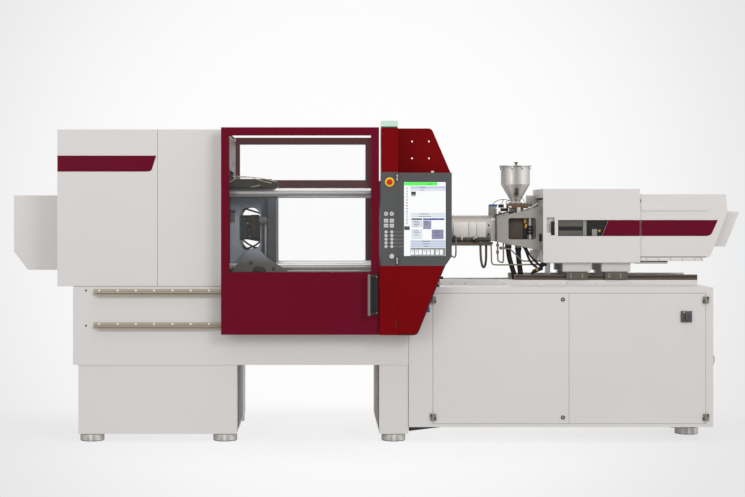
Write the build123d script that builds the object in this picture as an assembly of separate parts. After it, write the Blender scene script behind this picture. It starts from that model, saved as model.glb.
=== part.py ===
from build123d import *
from math import atan2, cos, degrees, radians, sin, sqrt, tan
import os

# All-electric injection moulding machine with a toggle clamp.
# Millimetres. X runs along the machine from the clamp end to the injection end, the
# operator stands at -Y, Z is up. The origin is on the floor, under the middle of the
# machine's bounding box.

# Clearances
seam_gap = 2.0
sheet = 4.0
slide_gap = 1.0
bolt_gap = 0.5
tie_bar_notch_gap = 4.0
running_gap = 0.05
plane_gap = 3.0

# Machine axis and width
axis_z = 1375.0
half_width = 565.0
frame_top = 1010.0

# Welded machine frame under the clamp
bed_left = -2004.0
bed_right = 178.0
bed_bottom = 499.0
pedestal_bottom = 50.0
pedestal_inset = 6.0
left_pedestal_x0 = -1970.0
left_pedestal_x1 = -939.0
right_pedestal_x0 = -10.0
chute_x0 = -640.0
chute_x1 = -130.0
chute_half_width = 300.0

# Levelling feet
foot_radius = 80.0
foot_pad_height = 34.0
foot_inset = 80.0
foot_spindle_radius = 12.0

# Clamp housing
housing_left = -2106.0
housing_seam = -1454.0
housing_right = -1010.0
housing_top = 2031.0
bulkhead_drop = 22.0
bulkhead_opening_half_width = 380.0
bulkhead_opening_top = 1780.0
end_cover_left = -2433.0
end_cover_bottom = 1110.0
end_cover_top = 1605.0
end_cover_half_width = 340.0
end_cover_bevel_x = 93.0
end_cover_bevel_z = 122.0

# Platens and tie bars
mould_face_x = -22.0
fixed_platen_thickness = 160.0
platen_half_width = 345.0
platen_half_height = 326.0
moving_face_x = -691.0
moving_platen_half_width = 285.0
moving_platen_thickness = 56.0
tie_bar_radius = 30.0
tie_bar_y = 265.0
tie_bar_z = 249.0
tie_nut_radius = 52.0
tie_nut_length = 50.0
locating_bore_radius = 62.5
locating_bore_depth = 25.0
nozzle_hole_radius = 50.0
nozzle_cone_radius = 85.0
mould_hole_radius = 8.0
mould_hole_depth = 32.0
mould_hole_square = 280.0
mould_hole_row = 140.0
mould_hole_column = 420.0

# Moving platen casting behind its face
casting_rear_x = -1000.0
casting_wall = 34.0
casting_rear_wall = 60.0
cheek_window_length = 141.0
cheek_window_height = 286.0
cheek_window_radius = 60.0
cheek_window_rear = 52.0
shoe_thickness = 36.0
shoe_web_height = 76.0
shoe_apex_z = 1250.0
shoe_x0 = -1000.0
shoe_x1 = -592.0
shoe_apex_x0 = -872.0
shoe_apex_x1 = -806.0
shoe_arch_x = -800.0
shoe_arch_radius = 44.0

# Toggle linkage
link_length = 290.0
pivot_height = 310.0
open_pivot_distance = 230.0
clamp_stroke = 350.0
lug_reach = 110.0
front_lug_reach = 60.0
lug_radius = 36.0
pin_radius = 18.0
hook_x = 200.0
hook_z = 150.0
hook_radius = 28.0
hook_pin_radius = 13.0
crosshead_link_length = 110.0
crosshead_pivot_z = 100.0
crosshead_thickness = 56.0
crosshead_half_height = 132.0
link_plate = 24.0
crosshead_link_y = 92.0
end_platen_thickness = 130.0
clamp_screw_radius = 25.0
clamp_motor_radius = 130.0
clamp_motor_length = 390.0
screw_tube_radius = 45.0
screw_tube_length = 430.0

# Ejector
ejector_stroke = 125.0
ejector_rod_radius = 16.0
ejector_plate_x = -860.0
ejector_plate_thickness = 30.0
ejector_half_width = 70.0
ejector_half_height = 74.0
quick_coupling_radius = 28.0
quick_coupling_z = 64.0

# Sliding guard doors
door_left = -1034.0
door_right = -17.0
door_bottom = 704.0
door_rise = 8.0
door_top = housing_top + door_rise
door_thickness = 40.0
door_standoff = 110.0
door_front = half_width + door_standoff
door_bracket_depth = 6.0
window_left = -983.0
window_right = -67.0
window_bottom = 1105.0
window_margin = 50.0
window_top = door_top - window_margin
pane_thickness = 8.0
rear_mid_rail_z0 = 1650.0
rear_mid_rail_z1 = 1730.0
door_travel = 800.0
door_rail_left = -1867.0
door_rail_lip_left = -1841.0
upper_rail_z = 969.0
lower_rail_z = 752.0
door_rail_height = 48.0
door_rail_depth = 30.0
roller_radius = 14.0
roller_inset = 150.0
handle_top = 1094.0
handle_bottom = 830.0
handle_bar_x0 = -94.0
handle_bar_x1 = -71.0
handle_plate_x1 = -27.0
handle_depth = 65.0
handle_bar_depth = 18.0

# Control column
column_left = -4.0
column_right = 104.0
column_depth = 130.0
column_front = half_width + column_depth
column_bottom = 703.0
column_rise = 4.0
column_top = housing_top + column_rise
column_foot_overhang = 11.0
panel_bottom = 1148.0
panel_top = 1750.0
lamp_height = 45.0
lamp_base_height = 8.0
estop_x = 49.7
estop_z = 1686.0
estop_head_radius = 18.0
estop_stem_radius = 11.0
estop_head_thickness = 12.0
estop_travel = 6.0
key_left_x = 26.6
key_right_x = 63.8
key_height = 1.2
round_key_radius = 13.5
round_key_z = 1482.0
small_key_radius = 10.0
square_key_width = 27.6
square_key_height = 24.4
square_key_upper_z = 1438.0
square_key_lower_z = 1406.0
small_key_rows = 5
small_key_top_z = 1366.0
small_key_pitch = 23.5
button_bore_depth = 60.0
start_button_z = 1210.0
start_button_radius = 15.4
start_button_travel = 4.0

# Guard fin and swinging display unit
fin_rise = 4.0
fin_top = column_top + fin_rise
fin_top_right = 330.0
fin_bottom_right = 454.0
fin_setback = 20.0
fin_front = half_width - fin_setback
fin_depth = 24.0
fin_hole_spacing = 110.0
fin_hole_radius = 8.0
fin_hole_x = 258.0
fin_hole_drop = 140.0
fin_hole_z = fin_top - fin_hole_drop
display_gap = 1.0
display_right = 449.0
display_top = 1746.0
display_bottom = 1148.0
display_bevel_z = 61.0
display_bevel_x = 41.0
display_depth = 75.0
screen_left = 142.0
screen_right = 410.0
screen_bottom = 1211.0
screen_top = 1686.0
screen_thickness = 6.0
skirt_bottom = 702.0
skirt_corner_x = 226.0
skirt_corner_z = 742.0
skirt_toe_x = 196.0
hinge_radius = 6.0
hinge_pin_radius = 3.0
hinge_knuckle = 19.0
upper_hinge_z = 1712.0
lower_hinge_z = 1179.0

# Injection bed, rails and carriage
injection_bed_left = 412.0
injection_bed_right = 2146.0
injection_bed_top = 1037.0
injection_bed_half_width = 215.0
trough_half_width = 115.0
beam_depth = 240.0
leg_inset = 66.0
leg_x = injection_bed_right - leg_inset
leg_width = 110.0
rail_y = 190.0
injection_rail_x0 = 917.0
injection_rail_x1 = injection_bed_right - 1
rail_width = 34.0
rail_height = 36.0
block_width = 70.0
block_height = 56.0
block_a_x0 = 1259.0
block_a_x1 = 1405.0
block_b_x0 = 1521.0
block_b_x1 = 1672.0
bracket_height = 57.0
bracket_overhang = 20.0
base_plate_thickness = 26.0
injection_forward = 300.0

# Barrel and feed casting
barrel_radius = 55.0
barrel_bore_radius = 17.5
barrel_left = 450.0
nozzle_tip_x = 300.0
nozzle_radius = 22.0
nozzle_bore_radius = 2.5
barrel_cover_left = 452.0
barrel_cover_right = 766.0
barrel_cover_radius = 100.0
barrel_cover_wall = 2.0
barrel_end_half = 78.0
flange_left = 768.0
flange_gap = 6.0
flange_corner = 14.0
casting_left = 804.0
casting_right = 1122.0
casting_left_top = 1460.0
casting_left_bottom = 1295.0
casting_top_rise = 73.0
casting_right_top = casting_left_top + casting_top_rise
casting_right_bottom = 1229.0
casting_half_width = 145.0
casting_window_x0 = 880.0
casting_window_x1 = 1069.0
casting_window_z0 = 1309.0
casting_window_z1 = 1454.0
casting_window_depth = 60.0
feed_x = 945.0
feed_hole_radius = 30.0

# Hopper
hopper_base_x0 = 895.0
hopper_base_x1 = 1028.0
hopper_seat_height = 68.0
hopper_base_z0 = casting_left_top + hopper_seat_height
hopper_base_thickness = 28.0
hopper_base_z1 = hopper_base_z0 + hopper_base_thickness
hopper_base_half_width = 75.0
gate_thickness = 5.0
gate_half_width = 45.0
gate_travel = 62.0
hopper_neck_radius = 33.0
hopper_neck_height = 14.0
hopper_neck_top = hopper_base_z1 + hopper_neck_height
hopper_cone_height = 114.0
hopper_cone_top = hopper_neck_top + hopper_cone_height
hopper_radius = 99.0
hopper_drum_height = 122.0
hopper_top = hopper_cone_top + hopper_drum_height
hopper_wall = 2.0
hopper_lid_radius = 110.0
hopper_lid_thickness = 7.0
lid_knuckle_radius = 6.0
lid_pin_radius = 3.0

# Injection drive and covers
drive_front_plate = 40.0
drive_rear_x = 1900.0
cover_guide_height = 20.0
drive_plate_half_width = 200.0
drive_plate_half_height = 205.0
guide_rod_y = 150.0
guide_rod_z = 160.0
guide_rod_radius = 18.0
ball_screw_radius = 14.0
screw_plate_x = 1400.0
screw_plate_thickness = 60.0
screw_plate_half_height = 190.0
screw_motor_radius = 100.0
screw_motor_length = 240.0
injection_stroke = 180.0
drive_motor_radius = 62.0
drive_motor_length = 260.0
front_cover_left = 1100.0
front_cover_right = 1751.0
front_cover_top = 1650.0
front_cover_bottom = 1156.0
front_cover_half_width = 250.0
front_cover_travel = 450.0
cover_window_x0 = 1200.0
cover_window_x1 = 1537.0
cover_window_slant = 44.0
cover_window_low = -42.0
cover_window_high = 66.0
rear_cover_left = 1760.0
rear_cover_right = 2330.0
rear_cover_top = 1614.0
rear_cover_bottom = 1193.0
rear_cover_half_width = 240.0
tail_right = 2433.0
tail_top = 1500.0
tail_bottom = 1262.0

# Control cabinet
cabinet_end_gap = 15.0
cabinet_right = injection_bed_right + cabinet_end_gap
cabinet_bottom = 95.0
cabinet_top = 1004.0
cabinet_half_width = half_width
cabinet_door_left = 338.0
cabinet_left_width = 158.0
cabinet_left = cabinet_door_left - cabinet_left_width
cabinet_door_middle = 1223.0
cabinet_right_width = 50.0
cabinet_door_right = cabinet_right - cabinet_right_width
cabinet_door_bottom = 118.0
cabinet_door_top = 965.0
cabinet_door_depth = 25.0
cabinet_hinge_radius = 9.0
cabinet_hinge_proud = 12.0
cabinet_hinge_height = 43.0
cabinet_hinge_inset = 42.0
lock_x = 1183.0
lock_radius = 13.0
lock_inset = 40.0
main_switch_inset = 127.0
main_switch_x = cabinet_door_right - main_switch_inset
main_switch_z = 814.0
main_switch_plate = 70.0
main_switch_knob_radius = 21.0
module_inset = 40.0
module_gap = 20.0
module_count = 6
module_depth = 160.0
module_bottom = 330.0
module_top = 700.0
module_plug_depth = 30.0
module_door_gap = 20.0
module_front_y = cabinet_half_width - cabinet_door_depth - module_door_gap
module_plate_y = module_front_y - module_plug_depth - module_depth
module_plug_height = 60.0
supply_width = 290.0
supply_depth = 120.0
terminal_depth = 50.0
terminal_bottom = 180.0
terminal_top = 260.0
socket_z = 512.0
socket_y = 400.0

# Coolant hoses and conduit
hose_radius = 17.0
hose_nipple_radius = 22.0
hose_nipple_length = 28.0
hose_carrier_depth = 52.0
hose_carrier_half_width = 100.0
front_hose_start = (886, -85, 1266)
rear_hose_start = (956, -70, 1252)
conduit_radius = 6.0
conduit_gland_radius = 10.0
conduit_gland_length = 16.0
conduit_start = (700, -50, 1280)
conduit_end = (747, 26, 1272)

os.makedirs("parts", exist_ok=True)


def block(x0, x1, y0, y1, z0, z1):
    # Box between two corners
    body = Box(x1 - x0, y1 - y0, z1 - z0)
    return Pos((x0 + x1) / 2, (y0 + y1) / 2, (z0 + z1) / 2) * body


def rod_x(x0, x1, y, z, radius):
    # Round bar along X
    return Pos((x0 + x1) / 2, y, z) * Rot(0, 90, 0) * Cylinder(radius, x1 - x0)


def rod_y(x, y0, y1, z, radius):
    # Round bar along Y
    return Pos(x, (y0 + y1) / 2, z) * Rot(90, 0, 0) * Cylinder(radius, y1 - y0)


def rod_z(x, y, z0, z1, radius):
    # Round bar along Z
    return Pos(x, y, (z0 + z1) / 2) * Cylinder(radius, z1 - z0)


def side_plate(points, y0, y1):
    # Outline in X and Z, extruded along Y
    corners = [Vector(x, y0, z) for x, z in points]
    outline = make_face(Polyline(*corners, close=True))
    return extrude(outline, amount=y1 - y0, dir=(0, 1, 0))


def long_profile(points, x0, x1):
    # Outline in Y and Z, extruded along X
    corners = [Vector(x0, y, z) for y, z in points]
    outline = make_face(Polyline(*corners, close=True))
    return extrude(outline, amount=x1 - x0, dir=(1, 0, 0))


def turned(points, axis):
    # Outline of radius and height, turned about Z through the given point
    corners = [Vector(radius, 0, height) for radius, height in points]
    outline = make_face(Polyline(*corners, close=True))
    return Pos(*axis) * revolve(outline, axis=Axis.Z)


def both_sides(shape):
    # The shape and its mirror image across the machine's middle plane
    return [shape, mirror(shape, about=Plane.XZ)]


def above_and_below(shape):
    # The shape and its mirror image across the machine axis
    return [shape, mirror(shape, about=Plane.XY.offset(axis_z))]


def save(name, *shapes):
    # One STEP file for a sub-part, with each of its solids
    solids = []
    for shape in shapes:
        solids.extend(shape.solids())
    whole = solids[0] if len(solids) == 1 else Compound(children=solids)
    export_step(whole, f"parts/{name}.step")


# Machine frame

def machine_frame():
    body = block(bed_left, bed_right, -half_width, half_width, bed_bottom, frame_top)
    edge = half_width - pedestal_inset
    body += block(left_pedestal_x0, left_pedestal_x1, -edge, edge, pedestal_bottom, bed_bottom)
    body += block(right_pedestal_x0, bed_right, -edge, edge, pedestal_bottom, bed_bottom)
    body -= block(
        chute_x0, chute_x1, -chute_half_width, chute_half_width, bed_bottom - 1, frame_top + 1
    )
    return body


def foot_places():
    clamp_y = half_width - pedestal_inset - foot_inset
    places = []
    right_x = (right_pedestal_x0 + bed_right) / 2
    for x in (left_pedestal_x0 + foot_inset, left_pedestal_x1 - foot_inset, right_x):
        for y in (-clamp_y, clamp_y):
            places.append((x, y))
    leg_y = (injection_bed_half_width + trough_half_width) / 2
    for y in (-leg_y, leg_y):
        places.append((leg_x, y))
    return places


def levelling_foot(x, y):
    rim = foot_pad_height - 10
    profile = [
        (0, 0),
        (foot_radius, 0),
        (foot_radius, rim),
        (foot_spindle_radius * 2, foot_pad_height),
        (foot_spindle_radius * 2, pedestal_bottom),
        (0, pedestal_bottom),
    ]
    return turned(profile, (x, y, 0))


# Clamp housing

def clamp_rear_cover():
    right = housing_seam - seam_gap / 2
    body = block(housing_left, right, -half_width, half_width, frame_top, housing_top)
    body -= block(
        housing_left + sheet,
        right + 1,
        -half_width + sheet,
        half_width - sheet,
        frame_top - 1,
        housing_top - sheet,
    )
    body -= block(
        housing_left - 1,
        housing_left + sheet + 1,
        -end_cover_half_width + sheet,
        end_cover_half_width - sheet,
        end_cover_bottom + sheet,
        end_cover_top - sheet,
    )
    return body


def clamp_front_cover():
    left = housing_seam + seam_gap / 2
    body = block(left, housing_right, -half_width, half_width, frame_top, housing_top)
    body -= block(
        left - 1,
        housing_right + 1,
        -half_width + sheet,
        half_width - sheet,
        frame_top - 1,
        housing_top - sheet,
    )
    bulkhead = block(
        housing_right - sheet,
        housing_right,
        -half_width + sheet,
        half_width - sheet,
        frame_top,
        housing_top - bulkhead_drop,
    )
    bulkhead -= block(
        housing_right - sheet - 1,
        housing_right + 1,
        -bulkhead_opening_half_width,
        bulkhead_opening_half_width,
        frame_top - 1,
        bulkhead_opening_top,
    )
    return body + bulkhead


def end_cover_outline(inset):
    left = end_cover_left + inset
    low = end_cover_bottom + inset
    high = end_cover_top - inset
    return [
        (housing_left + (1 if inset else 0), high),
        (left, high),
        (left, end_cover_bottom + end_cover_bevel_z),
        (end_cover_left + end_cover_bevel_x, low),
        (housing_left + (1 if inset else 0), low),
    ]


def clamp_end_cover():
    outer = side_plate(end_cover_outline(0), -end_cover_half_width, end_cover_half_width)
    inner_half = end_cover_half_width - sheet
    return outer - side_plate(end_cover_outline(sheet), -inner_half, inner_half)


# Platens

def tie_bar_places():
    places = []
    for y in (-tie_bar_y, tie_bar_y):
        for z in (axis_z - tie_bar_z, axis_z + tie_bar_z):
            places.append((y, z))
    return places


def mould_holes(face_x, direction):
    # Tapped mould mounting holes, a square and a tall rectangle, sunk from the face
    x0 = min(face_x, face_x + direction * mould_hole_depth)
    x1 = max(face_x, face_x + direction * mould_hole_depth)
    holes = []
    square = mould_hole_square / 2
    for y in (-square, square):
        for z in (-square, square):
            holes.append(rod_x(x0, x1, y, axis_z + z, mould_hole_radius))
    for y in (-mould_hole_row / 2, mould_hole_row / 2):
        for z in (-mould_hole_column / 2, mould_hole_column / 2):
            holes.append(rod_x(x0, x1, y, axis_z + z, mould_hole_radius))
    return holes


def fixed_platen():
    right = mould_face_x + fixed_platen_thickness
    body = block(
        mould_face_x,
        right,
        -platen_half_width,
        platen_half_width,
        axis_z - platen_half_height,
        axis_z + platen_half_height,
    )
    for side in (-1, 1):
        foot_y = side * (platen_half_width - 60)
        body += block(
            mould_face_x + 20, right, foot_y - 60, foot_y + 60, frame_top,
            axis_z - platen_half_height,
        )
    for y, z in tie_bar_places():
        body -= rod_x(mould_face_x - 1, right + 1, y, z, tie_bar_radius + bolt_gap)
    bore_end = mould_face_x + locating_bore_depth
    body -= rod_x(mould_face_x - 1, bore_end, 0, axis_z, locating_bore_radius)
    body -= rod_x(bore_end - 1, right + 1, 0, axis_z, nozzle_hole_radius)
    cone_depth = nozzle_cone_radius - nozzle_hole_radius
    cone = Cone(nozzle_cone_radius, nozzle_hole_radius, cone_depth)
    body -= Pos(right - cone_depth / 2, 0, axis_z) * Rot(0, -90, 0) * cone
    for hole in mould_holes(mould_face_x, 1):
        body -= hole
    return body


def tie_bars():
    solids = []
    left = end_platen_left() - tie_nut_length
    right = mould_face_x + fixed_platen_thickness + tie_nut_length
    for y, z in tie_bar_places():
        bar = rod_x(left, right, y, z, tie_bar_radius)
        bar += rod_x(left, end_platen_left(), y, z, tie_nut_radius)
        bar += rod_x(right - tie_nut_length, right, y, z, tie_nut_radius)
        solids.append(bar)
    return solids


def front_pivot_x():
    return casting_rear_x - front_lug_reach


def rear_pivot_x():
    return front_pivot_x() - open_pivot_distance


def end_platen_right():
    return rear_pivot_x() - lug_reach


def end_platen_left():
    return end_platen_right() - end_platen_thickness


def rear_link_y():
    return crosshead_link_y + link_plate + plane_gap


def front_link_y():
    return rear_link_y() + link_plate + plane_gap


def lug_y():
    return front_link_y() + link_plate + plane_gap


def lug(wall_x, pivot_x, pivot_z, y0, y1):
    # Ear that holds a toggle pin, grown from a platen's wall to the pin
    low = min(wall_x, pivot_x)
    high = max(wall_x, pivot_x)
    body = block(low, high, y0, y1, pivot_z - lug_radius, pivot_z + lug_radius)
    return body + rod_y(pivot_x, y0, y1, pivot_z, lug_radius)


def end_platen():
    left = end_platen_left()
    right = end_platen_right()
    body = block(
        left,
        right,
        -platen_half_width,
        platen_half_width,
        axis_z - platen_half_height,
        axis_z + platen_half_height,
    )
    body += block(
        left, right, -platen_half_width, platen_half_width, frame_top,
        axis_z - platen_half_height,
    )
    for y, z in tie_bar_places():
        body -= rod_x(left - 1, right + 1, y, z, tie_bar_radius + bolt_gap)
    body -= rod_x(left - 1, right + 1, 0, axis_z, clamp_screw_radius + slide_gap)
    ear = lug(right, rear_pivot_x(), axis_z + pivot_height, lug_y(), lug_y() + link_plate)
    pin = rod_y(
        rear_pivot_x(), rear_link_y(), lug_y() + link_plate, axis_z + pivot_height, pin_radius
    )
    for quarter in both_sides(ear + pin):
        for half in above_and_below(quarter):
            body += half
    return body


def platen_casting_half_width():
    # Half width of the moving platen's casting behind its face plate
    return moving_platen_half_width - casting_wall


def platen_shoe_y():
    # Inner side of the foot castings, just outside the tie bars
    return tie_bar_y + tie_bar_radius + tie_bar_notch_gap


def platen_shoe():
    # Forked foot casting that carries the moving platen on its guide rail
    rail_top = frame_top + rail_height
    y0 = platen_shoe_y()
    y1 = y0 + shoe_thickness
    low = rail_top + slide_gap
    outline = [
        (shoe_x0, low),
        (shoe_x0, low + 34),
        (shoe_apex_x0 - 20, shoe_apex_z - 26),
        (shoe_apex_x0 + 8, shoe_apex_z),
        (shoe_apex_x1, shoe_apex_z),
        (shoe_apex_x1 + 44, shoe_apex_z - 50),
        (shoe_x1, low + 40),
        (shoe_x1, low),
    ]
    body = side_plate(outline, y0, y1)
    body -= rod_y(shoe_arch_x, y0 - 1, y1 + 1, low + 38, shoe_arch_radius)
    body -= block(
        shoe_arch_x - shoe_arch_radius, shoe_arch_x + shoe_arch_radius, y0 - 1, y1 + 1,
        low - 1, low + 38,
    )
    # Web above the lower tie bar, from the platen's side out to the foot
    return body + block(
        shoe_apex_x0 + 8, shoe_apex_x1, platen_casting_half_width() - 1, y0 + 1,
        shoe_apex_z - shoe_web_height, shoe_apex_z,
    )


def moving_platen():
    plate_rear = moving_face_x - moving_platen_thickness
    low = axis_z - platen_half_height
    high = axis_z + platen_half_height
    body = block(
        plate_rear, moving_face_x, -moving_platen_half_width, moving_platen_half_width, low, high
    )
    # Casting behind the plate: an outer frame of four walls, closed by a rear wall
    inner_half = platen_casting_half_width()
    body += block(casting_rear_x, plate_rear, -inner_half, inner_half, low, high)
    cavity_y = inner_half - casting_wall
    cavity_front = plate_rear
    cavity_rear = casting_rear_x + casting_rear_wall
    body -= block(
        cavity_rear, cavity_front, -cavity_y, cavity_y, low + casting_wall, high - casting_wall
    )
    # Rounded windows through both cheeks, with the ejector unit between them
    window_x1 = plate_rear - cheek_window_rear
    window_x0 = window_x1 - cheek_window_length
    window = Box(cheek_window_length, 2 * platen_half_width + 2, cheek_window_height)
    window = fillet(window.edges().filter_by(Axis.Y), cheek_window_radius)
    body -= Pos((window_x0 + window_x1) / 2, 0, axis_z + 7) * window
    # Notches open to the sides, in which the tie bars pass
    notch = tie_bar_radius + tie_bar_notch_gap
    for y, z in tie_bar_places():
        side = moving_platen_half_width + 1
        outside = side if y > 0 else -side
        inside = y - notch if y > 0 else y + notch
        body -= block(
            casting_rear_x - 1, moving_face_x + 1, min(inside, outside), max(inside, outside),
            z - notch, z + notch,
        )
    body -= rod_x(
        casting_rear_x - 1, moving_face_x + 1, 0, axis_z, ejector_rod_radius + running_gap
    )
    for hole in mould_holes(moving_face_x, -1):
        body -= hole
    ear = lug(
        casting_rear_x, front_pivot_x(), axis_z + pivot_height, lug_y(), lug_y() + link_plate
    )
    pin = rod_y(
        front_pivot_x(), front_link_y(), lug_y() + link_plate, axis_z + pivot_height, pin_radius
    )
    for quarter in both_sides(ear + pin):
        for half in above_and_below(quarter):
            body += half
    for shoe in both_sides(platen_shoe()):
        body += shoe
    return body


# Toggle: every link is a pair of plates, left and right of the machine's middle plane

def place_link(plate, pivot_x, pivot_z, turn):
    # A link drawn along +X from its pivot at the origin, turned nose-down by turn degrees
    return Pos(pivot_x, 0, pivot_z) * Rot(0, turn, 0) * plate


def eye_bar(length, y0, y1, eye, hole_a, hole_b):
    # Straight link with an eye at each end; a hole radius of 0 leaves that eye solid
    body = block(0, length, y0, y1, -eye * 0.72, eye * 0.72)
    body += rod_y(0, y0, y1, 0, eye)
    body += rod_y(length, y0, y1, 0, eye)
    if hole_a:
        body -= rod_y(0, y0 - 1, y1 + 1, 0, hole_a)
    if hole_b:
        body -= rod_y(length, y0 - 1, y1 + 1, 0, hole_b)
    return body


def open_turn():
    # Angle of both main links below the straight position when the clamp is open
    return degrees(atan2(sqrt(link_length**2 - (open_pivot_distance / 2) ** 2),
                         open_pivot_distance / 2))


def rear_link(upper):
    y0 = rear_link_y()
    y1 = y0 + link_plate
    plate = eye_bar(link_length, y0, y1, lug_radius, pin_radius + running_gap, 0)
    hook = side_plate(
        [
            (60, 0),
            (link_length - 30, 0),
            (hook_x + hook_radius, -hook_z),
            (hook_x - hook_radius, -hook_z),
        ],
        y0,
        y1,
    )
    plate += hook
    plate += rod_y(hook_x, y0, y1, -hook_z, hook_radius)
    plate -= rod_y(0, y0 - 1, y1 + 1, 0, pin_radius + running_gap)
    placed = place_link(plate, rear_pivot_x(), axis_z + pivot_height, open_turn())
    pair = both_sides(placed)
    return pair if upper else [above_and_below(side)[1] for side in pair]


def front_link(upper):
    y0 = front_link_y()
    y1 = y0 + link_plate
    plate = eye_bar(link_length, y0, y1, lug_radius, pin_radius + running_gap, pin_radius)
    placed = place_link(plate, front_pivot_x(), axis_z + pivot_height, 180 - open_turn())
    pair = both_sides(placed)
    return pair if upper else [above_and_below(side)[1] for side in pair]


def hook_offset(turn):
    # Place of the hook eye from the rear pivot, with the link turned nose-down
    angle = radians(turn)
    x = hook_x * cos(angle) - hook_z * sin(angle)
    z = -hook_x * sin(angle) - hook_z * cos(angle)
    return x, z


def crosshead_x(turn):
    x, z = hook_offset(turn)
    rise = pivot_height + z - crosshead_pivot_z
    return rear_pivot_x() + x + sqrt(crosshead_link_length**2 - rise**2)


def crosshead_link_turn(turn):
    # Angle of the crosshead link about Y, measured for a link drawn along +X
    x, z = hook_offset(turn)
    rise = pivot_height + z - crosshead_pivot_z
    run = rear_pivot_x() + x - crosshead_x(turn)
    return -degrees(atan2(rise, run))


def crosshead_link(upper):
    y0 = crosshead_link_y
    y1 = y0 + link_plate
    plate = eye_bar(
        crosshead_link_length,
        y0,
        y1,
        hook_radius,
        hook_pin_radius + running_gap,
        hook_pin_radius + running_gap,
    )
    turn = crosshead_link_turn(open_turn())
    placed = place_link(plate, crosshead_x(open_turn()), axis_z + crosshead_pivot_z, turn)
    pair = both_sides(placed)
    return pair if upper else [above_and_below(side)[1] for side in pair]


def crosshead():
    x = crosshead_x(open_turn())
    half = crosshead_thickness / 2
    reach = crosshead_link_y - plane_gap
    body = block(
        x - half, x + half, -reach, reach, axis_z - crosshead_half_height,
        axis_z + crosshead_half_height,
    )
    body = chamfer(body.edges().filter_by(Axis.Y), 14)
    body -= rod_x(x - half - 1, x + half + 1, 0, axis_z, clamp_screw_radius)
    pin = rod_y(
        x, reach - 1, crosshead_link_y + link_plate, axis_z + crosshead_pivot_z, hook_pin_radius
    )
    for quarter in both_sides(pin):
        for half_pin in above_and_below(quarter):
            body += half_pin
    return body


def crosshead_travel():
    return crosshead_x(0) - crosshead_x(open_turn())


def clamp_screw():
    x = crosshead_x(open_turn()) + crosshead_thickness / 2
    motor_left = end_platen_left() - tie_nut_length - clamp_motor_length
    tail = motor_left - crosshead_travel() - 20
    return rod_x(tail, x, 0, axis_z, clamp_screw_radius)


def clamp_drive():
    # Hollow-shaft motor on the end platen, with a tube that guards the screw's tail
    right = end_platen_left()
    collar_left = right - tie_nut_length
    left = collar_left - clamp_motor_length
    body = rod_x(collar_left, right, 0, axis_z, clamp_motor_radius - 30)
    body += rod_x(left, collar_left, 0, axis_z, clamp_motor_radius)
    body += block(
        left + 60, left + 200, -50, 50, axis_z, axis_z + clamp_motor_radius + 45
    )
    body += rod_x(left - screw_tube_length, left, 0, axis_z, screw_tube_radius)
    body -= rod_x(
        left - screw_tube_length + sheet, right + 1, 0, axis_z, clamp_screw_radius + slide_gap
    )
    return body


# Ejector

def ejector_unit():
    # Yoke plate and motor inside the moving platen's casting
    rear = casting_rear_x + casting_rear_wall
    front = moving_face_x - moving_platen_thickness
    yoke = block(
        ejector_plate_x,
        ejector_plate_x + 2 * ejector_plate_thickness,
        -ejector_half_width,
        ejector_half_width,
        axis_z - ejector_half_height,
        axis_z + ejector_half_height,
    )
    for z in (-1, 0, 1):
        yoke -= rod_y(
            ejector_plate_x + ejector_plate_thickness,
            -ejector_half_width - 1,
            -ejector_half_width + 20,
            axis_z + z * (ejector_half_height - 16),
            9,
        )
    for y in (-1, 1):
        bar_y = y * (ejector_half_width - 14)
        yoke += rod_x(rear, front, bar_y, axis_z + ejector_half_height - 16, 10)
        yoke += rod_x(rear, front, bar_y, axis_z - ejector_half_height + 16, 10)
    yoke -= rod_x(rear - 1, front + 1, 0, axis_z, ejector_rod_radius + running_gap)
    motor = block(rear, ejector_plate_x - 8, 30, 110, axis_z - 66, axis_z + 66)
    motor += block(rear, ejector_plate_x - 30, -118, -36, axis_z - 58, axis_z + 40)
    coupling_z = axis_z + quick_coupling_z
    coupling = rod_x(
        ejector_plate_x + ejector_plate_thickness + 10, front, -ejector_half_width - 34,
        coupling_z, quick_coupling_radius,
    )
    bridge = block(
        ejector_plate_x + 40, ejector_plate_x + 58, -ejector_half_width - 20,
        -ejector_half_width + 10, coupling_z - 20, coupling_z + 9,
    )
    return [yoke + coupling + bridge, motor]


def ejector_rod():
    front = moving_face_x - 10
    rear = casting_rear_x + 4
    return rod_x(rear, front, 0, axis_z, ejector_rod_radius)


def cable_tray():
    # Dark tray on top of the moving platen that leads its cables back to the housing
    low = axis_z + platen_half_height
    outline = [
        (casting_rear_x - 120, low + 6),
        (casting_rear_x - 120, low + 34),
        (moving_face_x - 120, low + 40),
        (moving_face_x - 24, low + 18),
        (moving_face_x, low),
        (moving_face_x - 130, low),
    ]
    half = 2 * tie_bar_radius
    return side_plate(outline, -tie_bar_y - half, -tie_bar_y + half)


# Guide rails and door rails

def guide_rail(x0, x1, y, z):
    half = rail_width / 2
    waist = half - 5
    profile = [
        (y - half, z),
        (y + half, z),
        (y + half, z + rail_height * 0.4),
        (y + waist, z + rail_height * 0.55),
        (y + half, z + rail_height * 0.75),
        (y + half, z + rail_height),
        (y - half, z + rail_height),
        (y - half, z + rail_height * 0.75),
        (y - waist, z + rail_height * 0.55),
        (y - half, z + rail_height * 0.4),
    ]
    return long_profile(profile, x0, x1)


def linear_rails():
    clamp_y = platen_shoe_y() + shoe_thickness / 2
    clamp_rail = guide_rail(shoe_x0 - 60, shoe_x1 + clamp_stroke + 20, clamp_y, frame_top)
    injection_rail = guide_rail(
        injection_rail_x0, injection_rail_x1, rail_y, injection_bed_top
    )
    return [*both_sides(clamp_rail), *both_sides(injection_rail)]


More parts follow.
